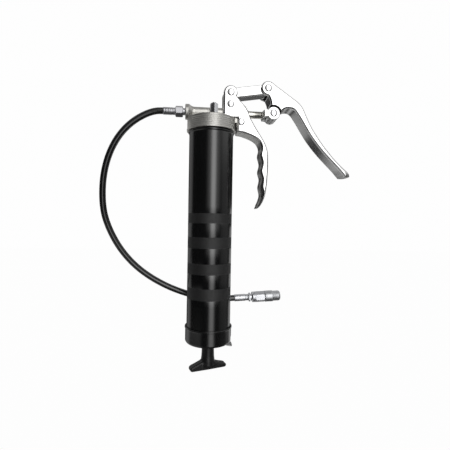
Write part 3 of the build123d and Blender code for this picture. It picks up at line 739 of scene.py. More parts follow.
def build_head_top():
    lug_outline = polygon(LUG)

    def field(x, y, z):
        from_pump = np.hypot(y, z - PUMP_Z)
        from_barrel = np.hypot(x, y)
        from_vent = np.hypot(x - VENT_XY[0], y - VENT_XY[1])
        house = rounded(from_pump - HOUSE_R, between(x, *HOUSE_X), 0.6)
        web = rounded(np.abs(y) - WEB_Y,
                      meet(between(x, -29.6, 16), between(z, 284.2, PUMP_Z)), 0.3)
        flange = rounded(from_pump - FLANGE_R, between(x, *FLANGE_X), 1.1)
        cone = meet(from_pump - (9.3 - (x + 28.9) * 0.55), between(x, -29.2, -23.6))
        vent_boss = rounded(from_vent - 6.6, between(z, 283.5, 286.55), 0.4)
        deck = rounded(from_barrel - 28.6, between(z, 283.4, 286.05), 0.3)
        lug = rounded(lug_outline(x, z), np.abs(y) - LUG_Y, 0.7)
        lug = cut(lug, from_barrel - HEAD_BORE_R, z - SKIRT_SHOULDER)
        body = blend(house, web, 1.6)
        body = blend(body, blend(flange, cone, 1.0), 1.2)
        body = blend(body, deck, 2.2)
        body = blend(body, lug, 1.2)
        body = blend(body, vent_boss, 0.8)
        # the pump bore, wider at both ends, then the vent and rivet holes
        body = cut(body, from_pump - 5.7, between(x, 14.0, 60))
        body = cut(body, from_pump - 5.0, between(x, -60, -27.4))
        body = cut(body, from_pump - PUMP_BORE_R, between(x, -18.0, 16.0))
        body = cut(body, from_vent - 3.0, z - 288.0)
        for rivet in RIVETS:
            body = cut(body, circle(x, z, rivet, RIVET_HOLE_R))
        return body
    field_piece("head_casting_top", field, (-35, -29, 273.6), (46, 29, 309), 0.5, ["zinc"],
                None)


# ------------------------------------------------------------------ grip
GRIP_BACK = [  # (x, z) down the grip's outer side
    (36.4, 307.6), (41.7, 301.8), (47.0, 293.8), (49.6, 286.5), (52.4, 281.6), (55.9, 275.6),
    (59.8, 269.6), (63.8, 263.8), (67.2, 258.2), (69.9, 252.9), (71.8, 247.8), (72.8, 242.0),
    (73.3, 233.5), (73.3, 223.2), (72.9, 212.9), (72.2, 202.6), (71.0, 192.3), (69.1, 184.0),
    (66.2, 177.6), (62.8, 173.0), (60.2, 170.6)]
GRIP_FINGERS = [  # (x, z) up the finger side, which faces the barrel
    (60.6, 175.5), (63.3, 182.0), (64.7, 189.0), (63.0, 199.1), (64.7, 209.5), (62.6, 219.5),
    (64.4, 229.6), (62.0, 240.2), (63.3, 248.6), (61.6, 254.6), (57.4, 259.8), (51.5, 263.4),
    (46.2, 265.6), (39.7, 267.6), (32.6, 268.6)]
GRIP_CHANNEL = [  # (x, z) outline of the channel between the cheeks
    (5.0, 286.0), (31.0, 286.0), (31.0, 273.4), (44.0, 272.2), (47.0, 277.0), (47.6, 286.6),
    (64.0, 287.4), (64.0, 345.0), (5.0, 345.0)]


def finger_crown(y, z):
    """How far the finger side is pulled in, away from the middle of the grip."""
    across = np.clip((np.abs(y) - 4.5) / 8.5, 0, 1) ** 2
    deep = 4.2 - 2.8 * np.clip((z - 186.0) / 28.0, 0, 1)
    return across * deep * np.clip((266.0 - z) / 8.0, 0, 1)


def build_grip():
    fingers = catmull(GRIP_FINGERS)
    outline = polygon(catmull(GRIP_BACK) + [(59.2, 171.0)] + fingers
                      + [(32.6, 286.2), (14.4, 286.2), (14.4, GRIP_PIN[1]),
                         (GRIP_PIN[0], GRIP_PIN[1] + 9.0), (31.4, 314.0)])
    channel = polygon(GRIP_CHANNEL)
    behind_fingers = polygon(fingers + [(-25.0, 268.6), (-25.0, 360.0), (110.0, 360.0),
                                        (110.0, 155.0), (54.0, 155.0)])

    def field(x, y, z):
        side = blend(outline(x, z), circle(x, z, GRIP_PIN, 9.15), 0.6)
        side = meet(side, behind_fingers(x, z) + finger_crown(y, z))
        body = rounded(side, np.abs(y) - CHEEK_Y, 2.3)
        body = cut(body, rounded(channel(x, z), np.abs(y) - SLOT_Y, 0.3))
        # room for the head's skirt
        body = cut(body, np.hypot(x, y) - 32.1, between(z, 255.0, 269.05))
        for rivet in RIVETS:
            body = cut(body, circle(x, z, rivet, RIVET_HOLE_R))
        return cut(body, circle(x, z, GRIP_PIN, PIN_HOLE_R))

    def pick(center):
        x, y, z = center.T
        # the channel faces between the cheeks get the dark base, a painted shade
        recess = (np.abs(y) < SLOT_Y + 0.25) & (channel(x, z) < 0.35)
        # finger-side faces below z 255.5 take the darker base, a painted shade
        finger = ((behind_fingers(x, z) + finger_crown(y, z) > -0.5)
                  & (np.abs(y) < CHEEK_Y - 1.0))
        return np.where(recess, 1, np.where(finger, np.where(z < 255.5, 2, 3), 0))
    field_piece("grip_handle", field, (13.5, -13.3, 169.5), (74.5, 13.3, 328.5), 0.5,
                ["polish", "recess", "fingers", "guard"], "grip_casting",
                pick=pick)


# ------------------------------------------------------------------ link
def build_link():
    unit_x, unit_z = LINK_DX / LINK_LENGTH, LINK_DZ / LINK_LENGTH

    def field(x, y, z):
        from_x, from_z = x - GRIP_PIN[0], z - GRIP_PIN[1]
        along = np.clip(from_x * unit_x + from_z * unit_z, 0, LINK_LENGTH)
        bar = np.hypot(from_x - unit_x * along, from_z - unit_z * along) - LINK_R
        body = rounded(bar, np.abs(y) - LINK_Y, 1.7)
        for pin in (GRIP_PIN, LEVER_PIN):
            body = cut(body, circle(x, z, pin, PIN_HOLE_R))
        return body
    field_piece("top_link_bar", field, (16.5, -10, 311), (79, 10, 333), 0.45, ["polish"],
                "top_link", body="link")


# ------------------------------------------------------------------ lever
LEVER_OUTER = [  # (x, z) down the side away from the grip
    (111.4, 310.6), (116.2, 305.8), (119.6, 300.4), (125.6, 287.9), (131.7, 276.6),
    (138.6, 266.4), (146.1, 256.3), (154.7, 246.1), (164.0, 236.0), (174.4, 226.4),
    (186.2, 217.0)]
LEVER_INNER = [  # (x, z) up the side facing the grip
    (174.4, 217.4), (168.0, 224.4), (156.9, 235.2), (146.6, 245.4), (137.5, 255.6),
    (129.4, 265.8), (122.6, 276.0), (115.8, 286.8), (109.0, 296.6), (105.4, 300.2),
    (101.4, 301.7), (96.6, 301.2), (92.6, 299.4), (89.0, 296.0)]
LINK_SWING = rad(32)    # the link's swing inside the lever's slot
SWING_START = PI + math.atan2(LINK_DZ, LINK_DX)


def build_lever():
    outline = polygon(
        [(LEVER_PIN[0] + 4.2, LEVER_PIN[1] + 8.3)] + catmull(LEVER_OUTER)
        + [(186.6, 215.4), (183.5, 214.6), (176.6, 214.8)] + catmull(LEVER_INNER)
        + [(CLEVIS_PIN[0], CLEVIS_PIN[1] + 4.0), (75.2, 303.0), (75.4, 306.7), (74.4, 311.2),
           (72.4, 315.6), (69.0, 318.6), (66.0, 322.0)])

    def link_sweep(x, z, from_pin):
        """The link's outline, swept over its swing about the lever pin."""
        angle = np.arctan2(z - LEVER_PIN[1], x - LEVER_PIN[0]) % (2 * PI)
        beyond = np.where(angle > SWING_START + LINK_SWING, angle - SWING_START - LINK_SWING, 0)
        beyond = np.where(angle < SWING_START, SWING_START - angle, beyond)
        beyond = np.minimum(beyond, PI)
        off = np.where(beyond < PI / 2, from_pin * np.sin(beyond), from_pin) - (LINK_R + 0.6)
        return np.minimum(off, from_pin - (LINK_R + 0.9))

    def field(x, y, z):
        half_y = np.abs(y)
        side = blend(outline(x, z), circle(x, z, LEVER_PIN, 9.3), 1.0)
        body = rounded(side, half_y - CHEEK_Y, 2.5)
        # blade end rounded in plan
        tip = np.hypot(np.maximum(x - 172.0, 0), y) - 14.8
        body = -blend(-body, -np.where(x > 168, tip, -5.0), 1.2)
        from_pin = np.hypot(x - LEVER_PIN[0], z - LEVER_PIN[1])
        body = cut(body, link_sweep(x, z, from_pin), from_pin - 27.0, half_y - SLOT_Y)
        # the clevis notches, and the eye between them
        body = cut(body, circle(x, z, CLEVIS_PIN, NOTCH_R), EYE_Y + 0.02 - half_y)
        eye = rounded(circle(x, z, CLEVIS_PIN, 8.0), half_y - EYE_Y, 0.5)
        body = np.minimum(body, eye)
        body = cut(body, circle(x, z, LEVER_PIN, PIN_HOLE_R))
        return cut(body, circle(x, z, CLEVIS_PIN, 3.55))

    def pick(center):
        x, y, z = center.T
        half_y = np.abs(y)
        # faces inside the clevis notches and the link slot get the dark base, a painted shade
        notch = ((circle(x, z, CLEVIS_PIN, NOTCH_R + 0.25) < 0)
                 & (half_y < CHEEK_Y - 0.6) & (half_y > EYE_Y - 0.2))
        slot = (half_y < SLOT_Y + 0.25) & (circle(x, z, LEVER_PIN, LINK_R + 1.3) < 0)
        return (notch | slot).astype(int)
    field_piece("lever_blade", field, (61.5, -13.4, 213.5), (187.5, 13.4, 336.5), 0.6,
                ["polish", "recess"], "lever", body="lever", pick=pick)


# ------------------------------------------------------------------ pins and rivets
PIN_HEAD_R, RIVET_HEAD_R = 4.8, 4.6
HEAD_HEIGHT = 1.5
HEAD_RIM = HEAD_HEIGHT * 0.35
END_GAP = 0.01          # between a head and the cheek it rests on


def headed_pin(radius, half, head_r):
    """A shank along local X with a domed head on each end."""
    left = [(-half - HEAD_HEIGHT, 0.0)]
    for k in range(1, 9):
        turn = k / 8 * PI / 2
        left.append((-half - HEAD_RIM - (HEAD_HEIGHT - HEAD_RIM) * math.cos(turn),
                     (head_r - 0.25) * math.sin(turn)))
    left += [(-half - HEAD_RIM * 0.5, head_r), (-half - 0.15, head_r), (-half, head_r - 0.15),
             (-half, radius)]
    right = [(-station, height) for station, height in reversed(left)]
    return spin(left + right, 64, closed=False)


def across_at(center):
    return shift(center[0], 0, center[1]) @ AX_Y


def build_pins():
    for name, center, face_y, body, node in (
            ("pin_link_grip", GRIP_PIN, CHEEK_Y, "root", "link_pin_grip"),
            ("pin_link_lever", LEVER_PIN, CHEEK_Y, "lever", "link_pin_lever"),
            ("pin_clevis", CLEVIS_PIN, CLEVIS_Y1, "plunger", "clevis_pin")):
        verts, faces = headed_pin(PIN_R, face_y + END_GAP, PIN_HEAD_R)
        finish_mesh(name, placed(verts, across_at(center)), faces, ["rivet"], body, node,
                    angle=60)
    verts, faces = headed_pin(RIVET_R, CHEEK_Y + END_GAP, RIVET_HEAD_R)
    both = np.vstack([placed(verts, across_at(center)) for center in RIVETS])
    faces = faces + [[k + len(verts) for k in face] for face in faces]
    finish_mesh("rivets_grip", both, faces, ["rivet"], "root", "grip_rivets",
                angle=60)


# ------------------------------------------------------------------ plunger and clevis
PLUNGER = [  # station along X, radius
    (1.5, 0.0), (1.5, 3.6), (1.9, 4.0), (47.0, 4.0), (47.4, 4.0), (47.4, 4.5), (47.45, 4.55),
    (66.1, 4.55), (66.18, 4.5), (66.18, 3.0), (69.2, 3.0), (69.2, 0.0)]
FORK_X = 66.2           # the fork's face towards the pump
FORK_CORNER_R = 7.0     # its corners in plan
FORK_Z = 4.55           # half height


def build_plunger():
    lathe("plunger_rod", PLUNGER, "rod", "pump_plunger", PUMP_AXIS, segs=96, closed=False,
          body="plunger")


def build_clevis():
    def field(x, y, z):
        half_y = np.abs(y)
        height = np.abs(z - PUMP_Z) - FORK_Z
        corner_x = FORK_X + FORK_CORNER_R - x
        corner_y = half_y - (CLEVIS_Y1 - FORK_CORNER_R)
        plan = np.where((corner_x > 0) & (corner_y > 0),
                        np.hypot(corner_x, corner_y) - FORK_CORNER_R,
                        np.maximum(FORK_X - x, half_y - CLEVIS_Y1))
        arm_y = between(half_y, CLEVIS_Y0, CLEVIS_Y1)
        block = rounded(meet(plan, x - 70.2), height, 1.0)
        arm = rounded(meet(between(x, 68.0, CLEVIS_PIN[0]), arm_y), height, 0.8)
        eye = rounded(circle(x, z, CLEVIS_PIN, CLEVIS_R), arm_y, 0.8)
        body = blend(block, blend(arm, eye, 1.0), 0.8)
        body = cut(body, np.hypot(y, z - PUMP_Z) - 3.01, x - 69.3)
        body = meet(body, CLEVIS_Y0 - np.where(x > 70.4, half_y, 1e3))
        return cut(body, circle(x, z, CLEVIS_PIN, PIN_HOLE_R))
    field_piece("clevis_fork", field, (65.5, -13, 285.5), (88, 13, 303), 0.4, ["polish"],
                "plunger_clevis", body="plunger")


# ------------------------------------------------------------------ hexagons
HEX_ROOT = 0.9          # rows up to this share of the flat's radius stay round


def hex_rule(flat_r, start, end, slope=1.4):
    """Radius rule for a hexagon with chamfered ends between two stations."""
    def rule(theta, station, radius):
        turn = (theta + PI / 6) % (PI / 3) - PI / 6
        corner = flat_r / math.cos(PI / 6) * 0.985
        depth = np.minimum(station - start, end - station)
        limit = flat_r * 0.955 + depth * slope
        hexagon = np.minimum(np.minimum(flat_r / np.cos(turn), corner), limit)
        in_hex = (station >= start - 1e-6) & (station <= end + 1e-6)
        return np.where(in_hex & (radius > flat_r * HEX_ROOT), hexagon, radius)
    return rule


def chamfer_rows(start, end, radius, run, steps, middle):
    """Rows across a hexagon, close together at both chamfered ends."""
    first = [(start + run * k / steps, radius) for k in range(steps + 1)]
    last = [(end - run * k / steps, radius) for k in range(steps, -1, -1)]
    return first + ([((start + end) / 2, radius)] if middle else []) + last


def hex_rows(start, end, radius):
    return chamfer_rows(start, end, radius, run=1.4, steps=6, middle=True)


# ------------------------------------------------------------------ hose and its fittings
ADAPTER_FLAT_R, ADAPTER_HEX = 12.7 / 2, (-46.6, -37.2)
TIP_FLAT_R, TIP_HEX = 11.4 / 2, (24.0, 26.2)
HOSE_PATH = [  # (x, y, z) from the adapter, down and round to the coupler
    (-50.4, 0.0, PUMP_Z), (-56.7, 0.0, PUMP_Z), (-63.0, 0.0, PUMP_Z), (-69.3, 0.05, 293.95),
    (-77.6, 0.3, 292.0), (-88.4, 0.8, 287.2), (-101.7, 1.8, 278.4), (-116.9, 3.9, 262.8),
    (-129.9, 7.3, 240.4), (-137.4, 11.0, 216.8), (-140.9, 16.2, 186.8), (-139.0, 20.8, 160.0),
    (-132.4, 24.5, 139.0), (-119.6, 28.7, 114.6), (-97.8, 33.0, 89.0), (-72.1, 36.2, 70.0),
    (-47.1, 37.6, 57.4), (-20.0, 38.0, 48.4), (4.0, 38.0, 43.9), (22.0, 38.0, 43.3)]
HOSE_ON_COUPLER = (-3.6, 2.8, 9.2, 18.6)    # last stations, along the coupler's axis
HOSE_RINGS, HOSE_SEGS = 420, 48


def build_adapter():
    root = ADAPTER_FLAT_R * HEX_ROOT
    profile = [(-61.0, 1.3), (-61.0, 2.06), (-50.02, 2.06), (-50.0, 4.4), (-49.8, 4.6),
               (-47.4, 4.6), (-46.9, 4.9), (-46.62, root)]
    profile += hex_rows(*ADAPTER_HEX, ADAPTER_FLAT_R)
    profile += [(-37.18, root), (-37.1, 4.5), (-36.9, 4.4), (-34.2, 4.4), (-34.0, 4.95),
                (-28.1, 4.95), (-28.1, 2.6), (-31.4, 2.6), (-31.4, 1.2)]
    lathe("hose_adapter_union", profile, "adapter", "hose_adapter", PUMP_AXIS, segs=180,
          angle=28, rule=hex_rule(ADAPTER_FLAT_R, *ADAPTER_HEX))


def crimp_rows(start, end, radius, grooves, width, depth=0.08):
    """A sleeve over the hose with shallow round grooves centred on the given stations."""
    def edge(station, inward):
        return [(station, FERRULE_BORE_R), (station, radius - 0.5),
                (station + inward * 0.25, radius - 0.12), (station + inward * 0.6, radius)]
    rows = edge(start, 1)
    for groove in grooves:
        for k in range(9):
            t = -1 + 2 * k / 8
            rows.append((groove + t * width / 2,
                         radius - depth * (0.5 + 0.5 * math.cos(t * PI))))
    return rows + edge(end, -1)[::-1]


def build_ferrules():
    rows = crimp_rows(-62.4, -50.02, radius=4.7, grooves=(-60.0, -56.4, -52.8), width=1.4)
    lathe("hose_ferrule_a", rows, "adapter", "hose_ferrule_inlet", PUMP_AXIS, segs=96, angle=40)
    rows = crimp_rows(3.2, 19.0, radius=4.85, grooves=(6.2, 10.6, 15.0), width=1.6)
    lathe("hose_ferrule_b", rows, "plate_x", "hose_ferrule_outlet", COUPLER, segs=96, angle=40)


def build_tip():
    root = TIP_FLAT_R * HEX_ROOT
    profile = [(5.0, 1.0), (5.0, 2.06), (19.04, 2.06), (19.05, 4.3), (19.2, 4.5), (23.6, 4.5),
               (23.98, 4.7), (24.0, root)]
    profile += chamfer_rows(*TIP_HEX, TIP_FLAT_R, run=0.6, steps=4, middle=False)
    profile += [(26.22, root), (26.3, 4.0), (28.38, 4.0), (28.4, 4.9), (38.0, 4.9), (38.0, 1.0)]
    lathe("hose_tip_union", profile, "plate_x", "hose_tip_fitting", COUPLER, segs=144,
          angle=28, rule=hex_rule(TIP_FLAT_R, *TIP_HEX, slope=2.8))


def natural_spline(points, samples):
    """Natural cubic spline over chord length, sampled evenly."""
    knots = np.concatenate([[0], np.cumsum(np.linalg.norm(np.diff(points, axis=0), axis=1))])
    gaps = np.diff(knots)
    count = len(points)
    system = np.zeros((count, count))
    target = np.zeros((count, 3))
    system[0, 0] = system[-1, -1] = 1
    for i in range(1, count - 1):
        system[i, i - 1:i + 2] = gaps[i - 1], 2 * (gaps[i - 1] + gaps[i]), gaps[i]
        target[i] = 6 * ((points[i + 1] - points[i]) / gaps[i]
                         - (points[i] - points[i - 1]) / gaps[i - 1])
    bend = np.linalg.solve(system, target)
    places = np.linspace(0, knots[-1], samples)
    k = np.clip(np.searchsorted(knots, places, side="right") - 1, 0, count - 2)
    left = (knots[k + 1] - places)[:, None]
    done = (places - knots[k])[:, None]
    gap = gaps[k][:, None]
    return (bend[k] * left ** 3 / (6 * gap) + bend[k + 1] * done ** 3 / (6 * gap)
            + (points[k] / gap - bend[k] * gap / 6) * left
            + (points[k + 1] / gap - bend[k + 1] * gap / 6) * done)


def build_hose():
    x, y, z = COUPLER_AT
    end = [(x + along * math.cos(TILT), y, z + along * math.sin(TILT))
           for along in HOSE_ON_COUPLER]
    path = natural_spline(np.array(HOSE_PATH + end), HOSE_RINGS)
    tangents = np.gradient(path, axis=0)
    tangents /= np.linalg.norm(tangents, axis=1, keepdims=True)
    theta = np.linspace(0, 2 * PI, HOSE_SEGS, endpoint=False)[:, None]
    normal = np.array([0.0, 1.0, 0.0])
    spokes = []     # unit circle round the path at each ring
    for tangent in tangents:
        normal = normal - tangent * np.dot(normal, tangent)
        normal /= np.linalg.norm(normal)
        spokes.append(np.cos(theta) * normal + np.sin(theta) * np.cross(tangent, normal))
    outer = [center + HOSE_R * spoke for center, spoke in zip(path, spokes)]
    inner = [center + HOSE_BORE_R * spoke for center, spoke in zip(path, spokes)]
    faces = ring_faces(HOSE_RINGS * 2, HOSE_SEGS).tolist()
    verts, faces = outward(np.vstack(outer + inner[::-1]), faces)
    finish_mesh("hose_tube", verts / 1000, faces, ["hose"], "root", "hose", angle=40)


# ------------------------------------------------------------------ coupler
COUPLER_FLAT_R, COUPLER_HEX = 13.6 / 2, (33.6, 47.0)
SLEEVE = [  # station, radius: collar with two shallow turned lines, then a narrower nose
    (47.06, 6.42), (47.06, 7.35), (47.2, 7.62), (47.6, 7.8), (49.4, 7.8), (49.55, 7.66),
    (49.85, 7.66), (50.0, 7.8), (56.6, 7.8), (56.75, 7.66), (57.05, 7.66), (57.2, 7.8),
    (58.3, 7.8), (58.7, 7.6), (58.85, 7.2), (59.1, 7.1), (67.2, 7.1), (67.9, 6.95),
    (68.8, 6.4), (69.2, 5.9), (69.3, 5.6), (69.3, 5.2), (69.15, 5.06), (64.2, 5.06),
    (62.0, 6.42)]


def build_coupler():
    root = COUPLER_FLAT_R * HEX_ROOT
    profile = [(28.2, 4.97), (28.2, 6.0), (28.35, 6.25), (28.9, 7.0), (29.4, 7.45),
               (30.0, 7.6), (30.35, 7.6), (30.55, 7.3), (30.65, 6.75), (31.75, 6.7),
               (31.85, 7.3), (32.0, 7.55), (32.2, 7.6), (33.2, 7.6), (33.45, 7.4),
               (33.58, root)]
    profile += hex_rows(*COUPLER_HEX, COUPLER_FLAT_R)
    profile += [(47.02, root), (47.03, 6.35), (54.8, 6.35), (55.0, 6.2), (55.0, 4.05),
                (38.5, 4.05), (38.4, 4.97)]
    lathe("coupler_hex_body", profile, "plate_x", "coupler_body", COUPLER, segs=180, angle=28,
          rule=hex_rule(COUPLER_FLAT_R, *COUPLER_HEX))
    lathe("coupler_sleeve_shell", SLEEVE, "sleeve", "coupler_sleeve", COUPLER, segs=128,
          angle=35)


# ------------------------------------------------------------------ vent valve
VENT_FLAT_R = 5.35 * math.cos(PI / 6)
VENT_HEX = (286.62, 302.2)


def build_vent():
    top = VENT_HEX[1]
    profile = [(282.1, 1.6), (282.1, 2.98), (286.55, 2.98), (286.6, VENT_FLAT_R * HEX_ROOT)]
    profile += hex_rows(*VENT_HEX, VENT_FLAT_R)
    profile += [(top, VENT_FLAT_R * 0.86), (top, 2.05), (301.0, 2.05), (300.9, 2.9),
                (290.0, 2.9), (289.9, 1.6)]
    matrix = shift(*VENT_XY, 0) @ Matrix.Rotation(rad(8), 4, "Z") @ AX_UP
    lathe("vent_valve_hex", profile, "plate_z", "vent_valve_body", matrix, segs=180, angle=28,
          rule=hex_rule(VENT_FLAT_R, *VENT_HEX, slope=0.84))


# ------------------------------------------------------------------ tee handle
TEE_TURN = rad(18.0)    # of the bar about Z, away from X
# (along the bar, z) outline in four runs: top towards each end, then the underside
TEE_TOP_LEFT = [(-24.8, -36.6), (-24.1, -34.8), (-22.4, -33.4), (-17.0, -31.4), (-9.5, -28.4)]
TEE_RIGHT = [(9.5, -30.4), (17.0, -32.8), (22.6, -34.2), (24.4, -35.5), (24.9, -37.1),
             (24.2, -38.8), (22.4, -39.6)]
TEE_BOTTOM = (0.0, -39.9)
TEE_LOW_LEFT = [(-22.4, -39.7), (-24.2, -38.7), (-24.8, -36.6)]
TEE_NECK = [(-36.0, 9.2), (-28.0, 9.0), (-22.0, 8.3), (-14.0, 8.05), (-0.9, 8.15),
            (-0.4, 7.6)]   # z, radius


def build_tee():
    outline = polygon(catmull(TEE_TOP_LEFT) + catmull(TEE_RIGHT) + [TEE_BOTTOM]
                      + catmull(TEE_LOW_LEFT)[:-1])
    cosine, sine = math.cos(TEE_TURN), math.sin(TEE_TURN)
    neck_z, neck_r = zip(*TEE_NECK)

    def field(x, y, z):
        along = x * cosine + y * sine
        across = -x * sine + y * cosine
        radius = np.hypot(x, y)
        neck = rounded(radius - np.interp(z, neck_z, neck_r), between(z, -34.0, -0.4), 0.7)
        bar = rounded(outline(along, z), np.abs(across) - 5.4, 2.2)
        return cut(blend(neck, bar, 2.6), radius - 3.19, -24.0 - z)
    field_piece("tee_grip", field, (-29, -15, -41.2), (29, 15, 0.2), 0.5, ["plastic"],
                "tee_handle", body="rod")


# ------------------------------------------------------------------ release latch
LATCH_SIDE = [  # (x, z) flat strip bent down at the +X end
    (-11.0, 0.7), (15.4, 0.7), (23.6, -7.5), (24.6, -7.65), (25.0, -6.2), (24.3, -6.1),
    (16.0, 2.2), (-11.0, 2.2)]
LATCH_TAB = [(23.6, -7.5), (31.0, -8.7), (31.2, -7.3), (24.2, -6.15)]
LATCH_HINGE = (-11.0, 2.3)      # (x, z)
LATCH_Y = 4.5                   # half width


def build_latch():
    side, tab_side = polygon(LATCH_SIDE), polygon(LATCH_TAB)

    def field(x, y, z):
        half_y = np.abs(y)
        strip = rounded(side(x, z), half_y - LATCH_Y, 0.3)
        # the tab is wider, with rounded corners in plan
        corner_x, corner_y = np.maximum(x - 28.1, 0.0), np.maximum(half_y - 5.0, 0.0)
        plan = np.where((corner_x > 0) & (corner_y > 0),
                        np.hypot(corner_x, corner_y) - 3.0, half_y - 8.0)
        tab = rounded(tab_side(x, z), plan, 0.3)
        disc = rounded(np.hypot(x, y) - 7.0, between(z, 0.7, 2.2), 0.3)
        knuckle = rounded(circle(x, z, LATCH_HINGE, 1.9), half_y - LATCH_Y, 0.2)
        body = reduce(np.minimum, (strip, tab, disc, knuckle))
        body = cut(body, np.hypot(x, y) - 3.555)
        return cut(body, circle(x, z, LATCH_HINGE, 0.95))
    field_piece("release_latch_plate", field, (-13.2, -8.4, -9.2), (32.6, 8.4, 4.4), 0.3,
                ["tongue"], "rod_release_latch", body="latch")


build_barrel()
build_cap()
build_head_ring()
build_head_top()
build_grip()
build_link()
build_lever()
build_pins()
build_plunger()
build_clevis()
build_adapter()
build_ferrules()
build_tip()
build_hose()
build_coupler()
build_vent()
build_tee()
build_latch()

# ------------------------------------------------------------------ carried-over CAD nodes
CARRIED = {  # node: material
    "rod_bushing": "brass", "latch_pivot": "plate_z", "latch_spring": "spring",
    "follower_spring": "spring", "head_gasket": "seal", "plunger_packing": "seal",
    "packing_nut": "brass", "outlet_check_spring": "spring", "coupler_spring": "spring",
    "vent_valve_spring": "spring", "plunger_return_spring": "spring",
    "spring_collar": "plate_x", "follower_lower_plate": "plate_z", "follower_cup": "seal",
    "follower_upper_plate": "plate_z", "follower_rod": "rod_z", "rod_nut": "plate_z",
    "vent_valve_stem": "plate_z", "outlet_check_ball": "plate_x", "coupler_jaws": "plate_x",
    "coupler_seal": "seal"}
for node, key in CARRIED.items():
    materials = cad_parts[node].data.materials
    materials.clear()
    materials.append(MAT[key])

# Node, joint that works it, axis, fixed end (heights from the cap's foot), free length,
# travel at the joint's limit
PUMP_HEIGHT = PUMP_Z + LIFT
SPRINGS = (
    ("plunger_return_spring", "plunger_stroke", (1, 0, 0), (23.0, 0.0, PUMP_HEIGHT), 22.96, 17.0),
    ("follower_spring", "follower_slide", (0, 0, 1), (0.0, 0.0, 10.5), 248.5, 215.0),
    ("vent_valve_spring", "vent_press", (0, 0, 1), (*VENT_XY, 293.5), 9.56, 1.2),
    ("outlet_check_spring", "check_ball_lift", (1, 0, 0), (-31.4, 0.0, PUMP_HEIGHT), 6.84, 1.2),
    ("coupler_spring", "coupler_jaw_travel", (0.99863, 0, 0.052336), (74.24, 38.0, 49.44),
     10.2, 1.5),
    ("latch_spring", "latch_press", (0, 0, 1), (13.0, 0.0, 8.1), 2.33, 1.6),
)
for node, joint, axis, end, free, travel in SPRINGS:
    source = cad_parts[node]
    mesh = source.data.copy()
    mesh.transform(source.matrix_world)
    coil = bpy.data.objects.new(node + "_coil", mesh)
    bpy.context.scene.collection.objects.link(coil)
    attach(coil, "root")
    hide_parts(node)
    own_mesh(coil)

# ------------------------------------------------------------------ floor
FLOOR_HALF = 5.0        # metres
FLOOR_Z = -0.30         # metres; stays under the tee handle at the end of its travel


def build_floor():
    mesh = bpy.data.meshes.new("floor")
    corners = [(x * FLOOR_HALF, y * FLOOR_HALF, FLOOR_Z)
               for x, y in ((-1, -1), (1, -1), (1, 1), (-1, 1))]
    mesh.from_pydata(corners, [], [(0, 1, 2, 3)])
    shader = Shader("pale_floor")
    tone = shader.noise(scale=3, detail=2, rough=0.5)
    color = shader.ramp(tone, (0.3, grey(0.93)), (0.7, grey(0.96)))
    shader.finish(color=color, rough=0.9, spec=0.1)
    # the camera sees an even glow, like a lit paper sweep
    glow = shader.node("ShaderNodeEmission")
    glow.inputs["Color"].default_value = (1, 1, 1, 1)
    glow.inputs["Strength"].default_value = 0.985
    surface = shader.camera_switch(shader.principled.outputs[0], glow.outputs[0])
    shader.link(surface, shader.output.inputs[0])
    mesh.materials.append(shader.material)
    floor = bpy.data.objects.new("pale_floor", mesh)
    bpy.context.scene.collection.objects.link(floor)
    floor.visible_glossy = False


build_floor()

# ------------------------------------------------------------------ studio light
# Soft patches of light on a dark sky, in degrees. Azimuth 0 is towards the camera (-Y),
# positive towards +X. Azimuth from, to, softness; elevation from, to, softness; strength.
# None goes all the way round.
PATCHES = [
    (1.0, 24.0, 7.0, -6.0, 50.0, 10.0, 2.6),
    (1.0, 24.0, 7.0, -40.0, -6.0, 8.0, 1.5),
    (-16.0, 44.0, 12.0, -2.0, 40.0, 8.0, 0.6),
    (-147.0, -110.0, 6.0, -35.0, 45.0, 10.0, 0.36),
    (-110.0, -50.0, 8.0, 26.0, 55.0, 6.0, 0.24),
    (124.0, 152.0, 6.0, -26.0, 1.5, 2.0, 0.75),
    (-140.0, -40.0, 10.0, -62.0, -24.0, 8.0, 0.40),
    (56.0, 110.0, 12.0, -20.0, 50.0, 12.0, 0.20),
    (50.0, 112.0, 12.0, 12.0, 56.0, 4.0, 0.52),
    (100.0, 200.0, 8.0, -42.0, -24.0, 4.0, 0.80),
    (-200.0, -150.0, 8.0, -42.0, -24.0, 4.0, 0.80),
    (110.0, 200.0, 10.0, 20.0, 58.0, 9.0, 0.48),
    (-200.0, -110.0, 10.0, 20.0, 58.0, 9.0, 0.48),
    (158.0, 200.0, 8.0, -11.0, 1.0, 4.0, 0.70),
    (-200.0, -158.0, 8.0, -11.0, 1.0, 4.0, 0.70),
    (None, None, 0, -95.0, -42.0, 6.0, 0.06),
    (None, None, 0, 50.0, 80.0, 8.0, 0.30),
    (None, None, 0, 80.0, 95.0, 5.0, 0.50),
]
SKY_BASE = 0.020        # strength between the patches
BACKDROP = 0.99         # strength the camera sees


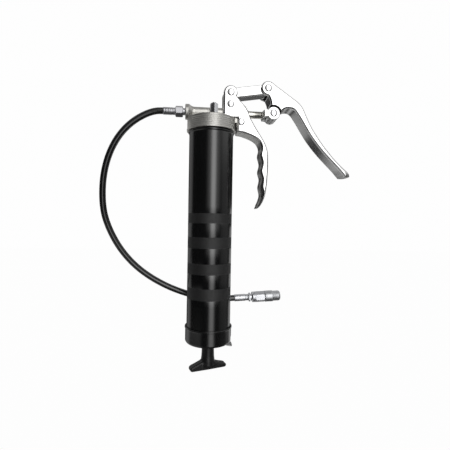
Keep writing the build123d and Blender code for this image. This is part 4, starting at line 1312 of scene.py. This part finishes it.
def build_world():
    world = bpy.data.worlds.new("studio")
    bpy.context.scene.world = world
    world.use_nodes = True
    sky = Nodes(world.node_tree)

    def window(value, low, high, soft):
        def rise(at):
            return sky.remap(value, source=(at - soft, at + soft),
                             interpolation_type="SMOOTHSTEP")
        return sky.math("MULTIPLY", rise(low), sky.math("SUBTRACT", 1.0, rise(high)))

    def background(color, strength):
        node = sky.node("ShaderNodeBackground")
        node.inputs["Color"].default_value = color
        sky.feed(node.inputs["Strength"], strength)
        return node.outputs[0]

    output = sky.node("ShaderNodeOutputWorld")
    split = sky.node("ShaderNodeSeparateXYZ")
    sky.link(sky.node("ShaderNodeTexCoord").outputs["Generated"], split.inputs[0])
    x, y, z = split.outputs
    degrees = 180 / PI
    turn = sky.math("ARCTAN2", x, sky.math("MULTIPLY", y, -1.0))
    azimuth = sky.math("MULTIPLY", turn, degrees)
    elevation = sky.math("MULTIPLY", sky.math("ARCSINE", z), degrees)
    total = None
    for az_low, az_high, az_soft, el_low, el_high, el_soft, strength in PATCHES:
        patch = window(elevation, el_low, el_high, el_soft)
        if az_low is not None:
            patch = sky.math("MULTIPLY", patch, window(azimuth, az_low, az_high, az_soft))
        patch = sky.math("MULTIPLY", patch, strength)
        total = patch if total is None else sky.math("ADD", total, patch)
    total = sky.math("ADD", total, SKY_BASE)
    lit = background(color=(1.0, 1.0, 0.995, 1), strength=total)
    seen = background(color=(1, 1, 1, 1), strength=BACKDROP)
    sky.link(sky.camera_switch(lit, seen), output.inputs[0])


build_world()

# ------------------------------------------------------------------ camera
CAMERA_DISTANCE, CAMERA_HEIGHT = 440.8, 153.2
YAW, PITCH, ROLL = 0.0449, -0.0100, 0.0168      # radians
ORBIT = rad(-3.0)       # turn of the whole camera about Z
LENS = 26.944


def build_camera():
    forward = Vector((math.sin(YAW) * math.cos(PITCH), math.cos(YAW) * math.cos(PITCH),
                      math.sin(PITCH)))
    level = Vector((math.cos(YAW), -math.sin(YAW), 0.0))
    upright = level.cross(forward)
    right = level * math.cos(ROLL) + upright * math.sin(ROLL)
    up = -level * math.sin(ROLL) + upright * math.cos(ROLL)
    orbit = Matrix.Rotation(ORBIT, 3, "Z")
    rotation = Matrix((orbit @ right, orbit @ up, -(orbit @ forward))).transposed()
    place = orbit @ Vector((0, -CAMERA_DISTANCE, CAMERA_HEIGHT + LIFT))
    data = bpy.data.cameras.new("camera")
    data.sensor_width = 36.0
    data.lens = LENS
    data.clip_start = 0.01
    camera = bpy.data.objects.new("camera", data)
    camera.matrix_world = Matrix.Translation(place / 1000) @ rotation.to_4x4()
    bpy.context.scene.collection.objects.link(camera)
    bpy.context.scene.camera = camera


build_camera()
bpy.context.scene.view_settings.view_transform = "Standard"
bpy.context.scene.view_settings.look = "None"
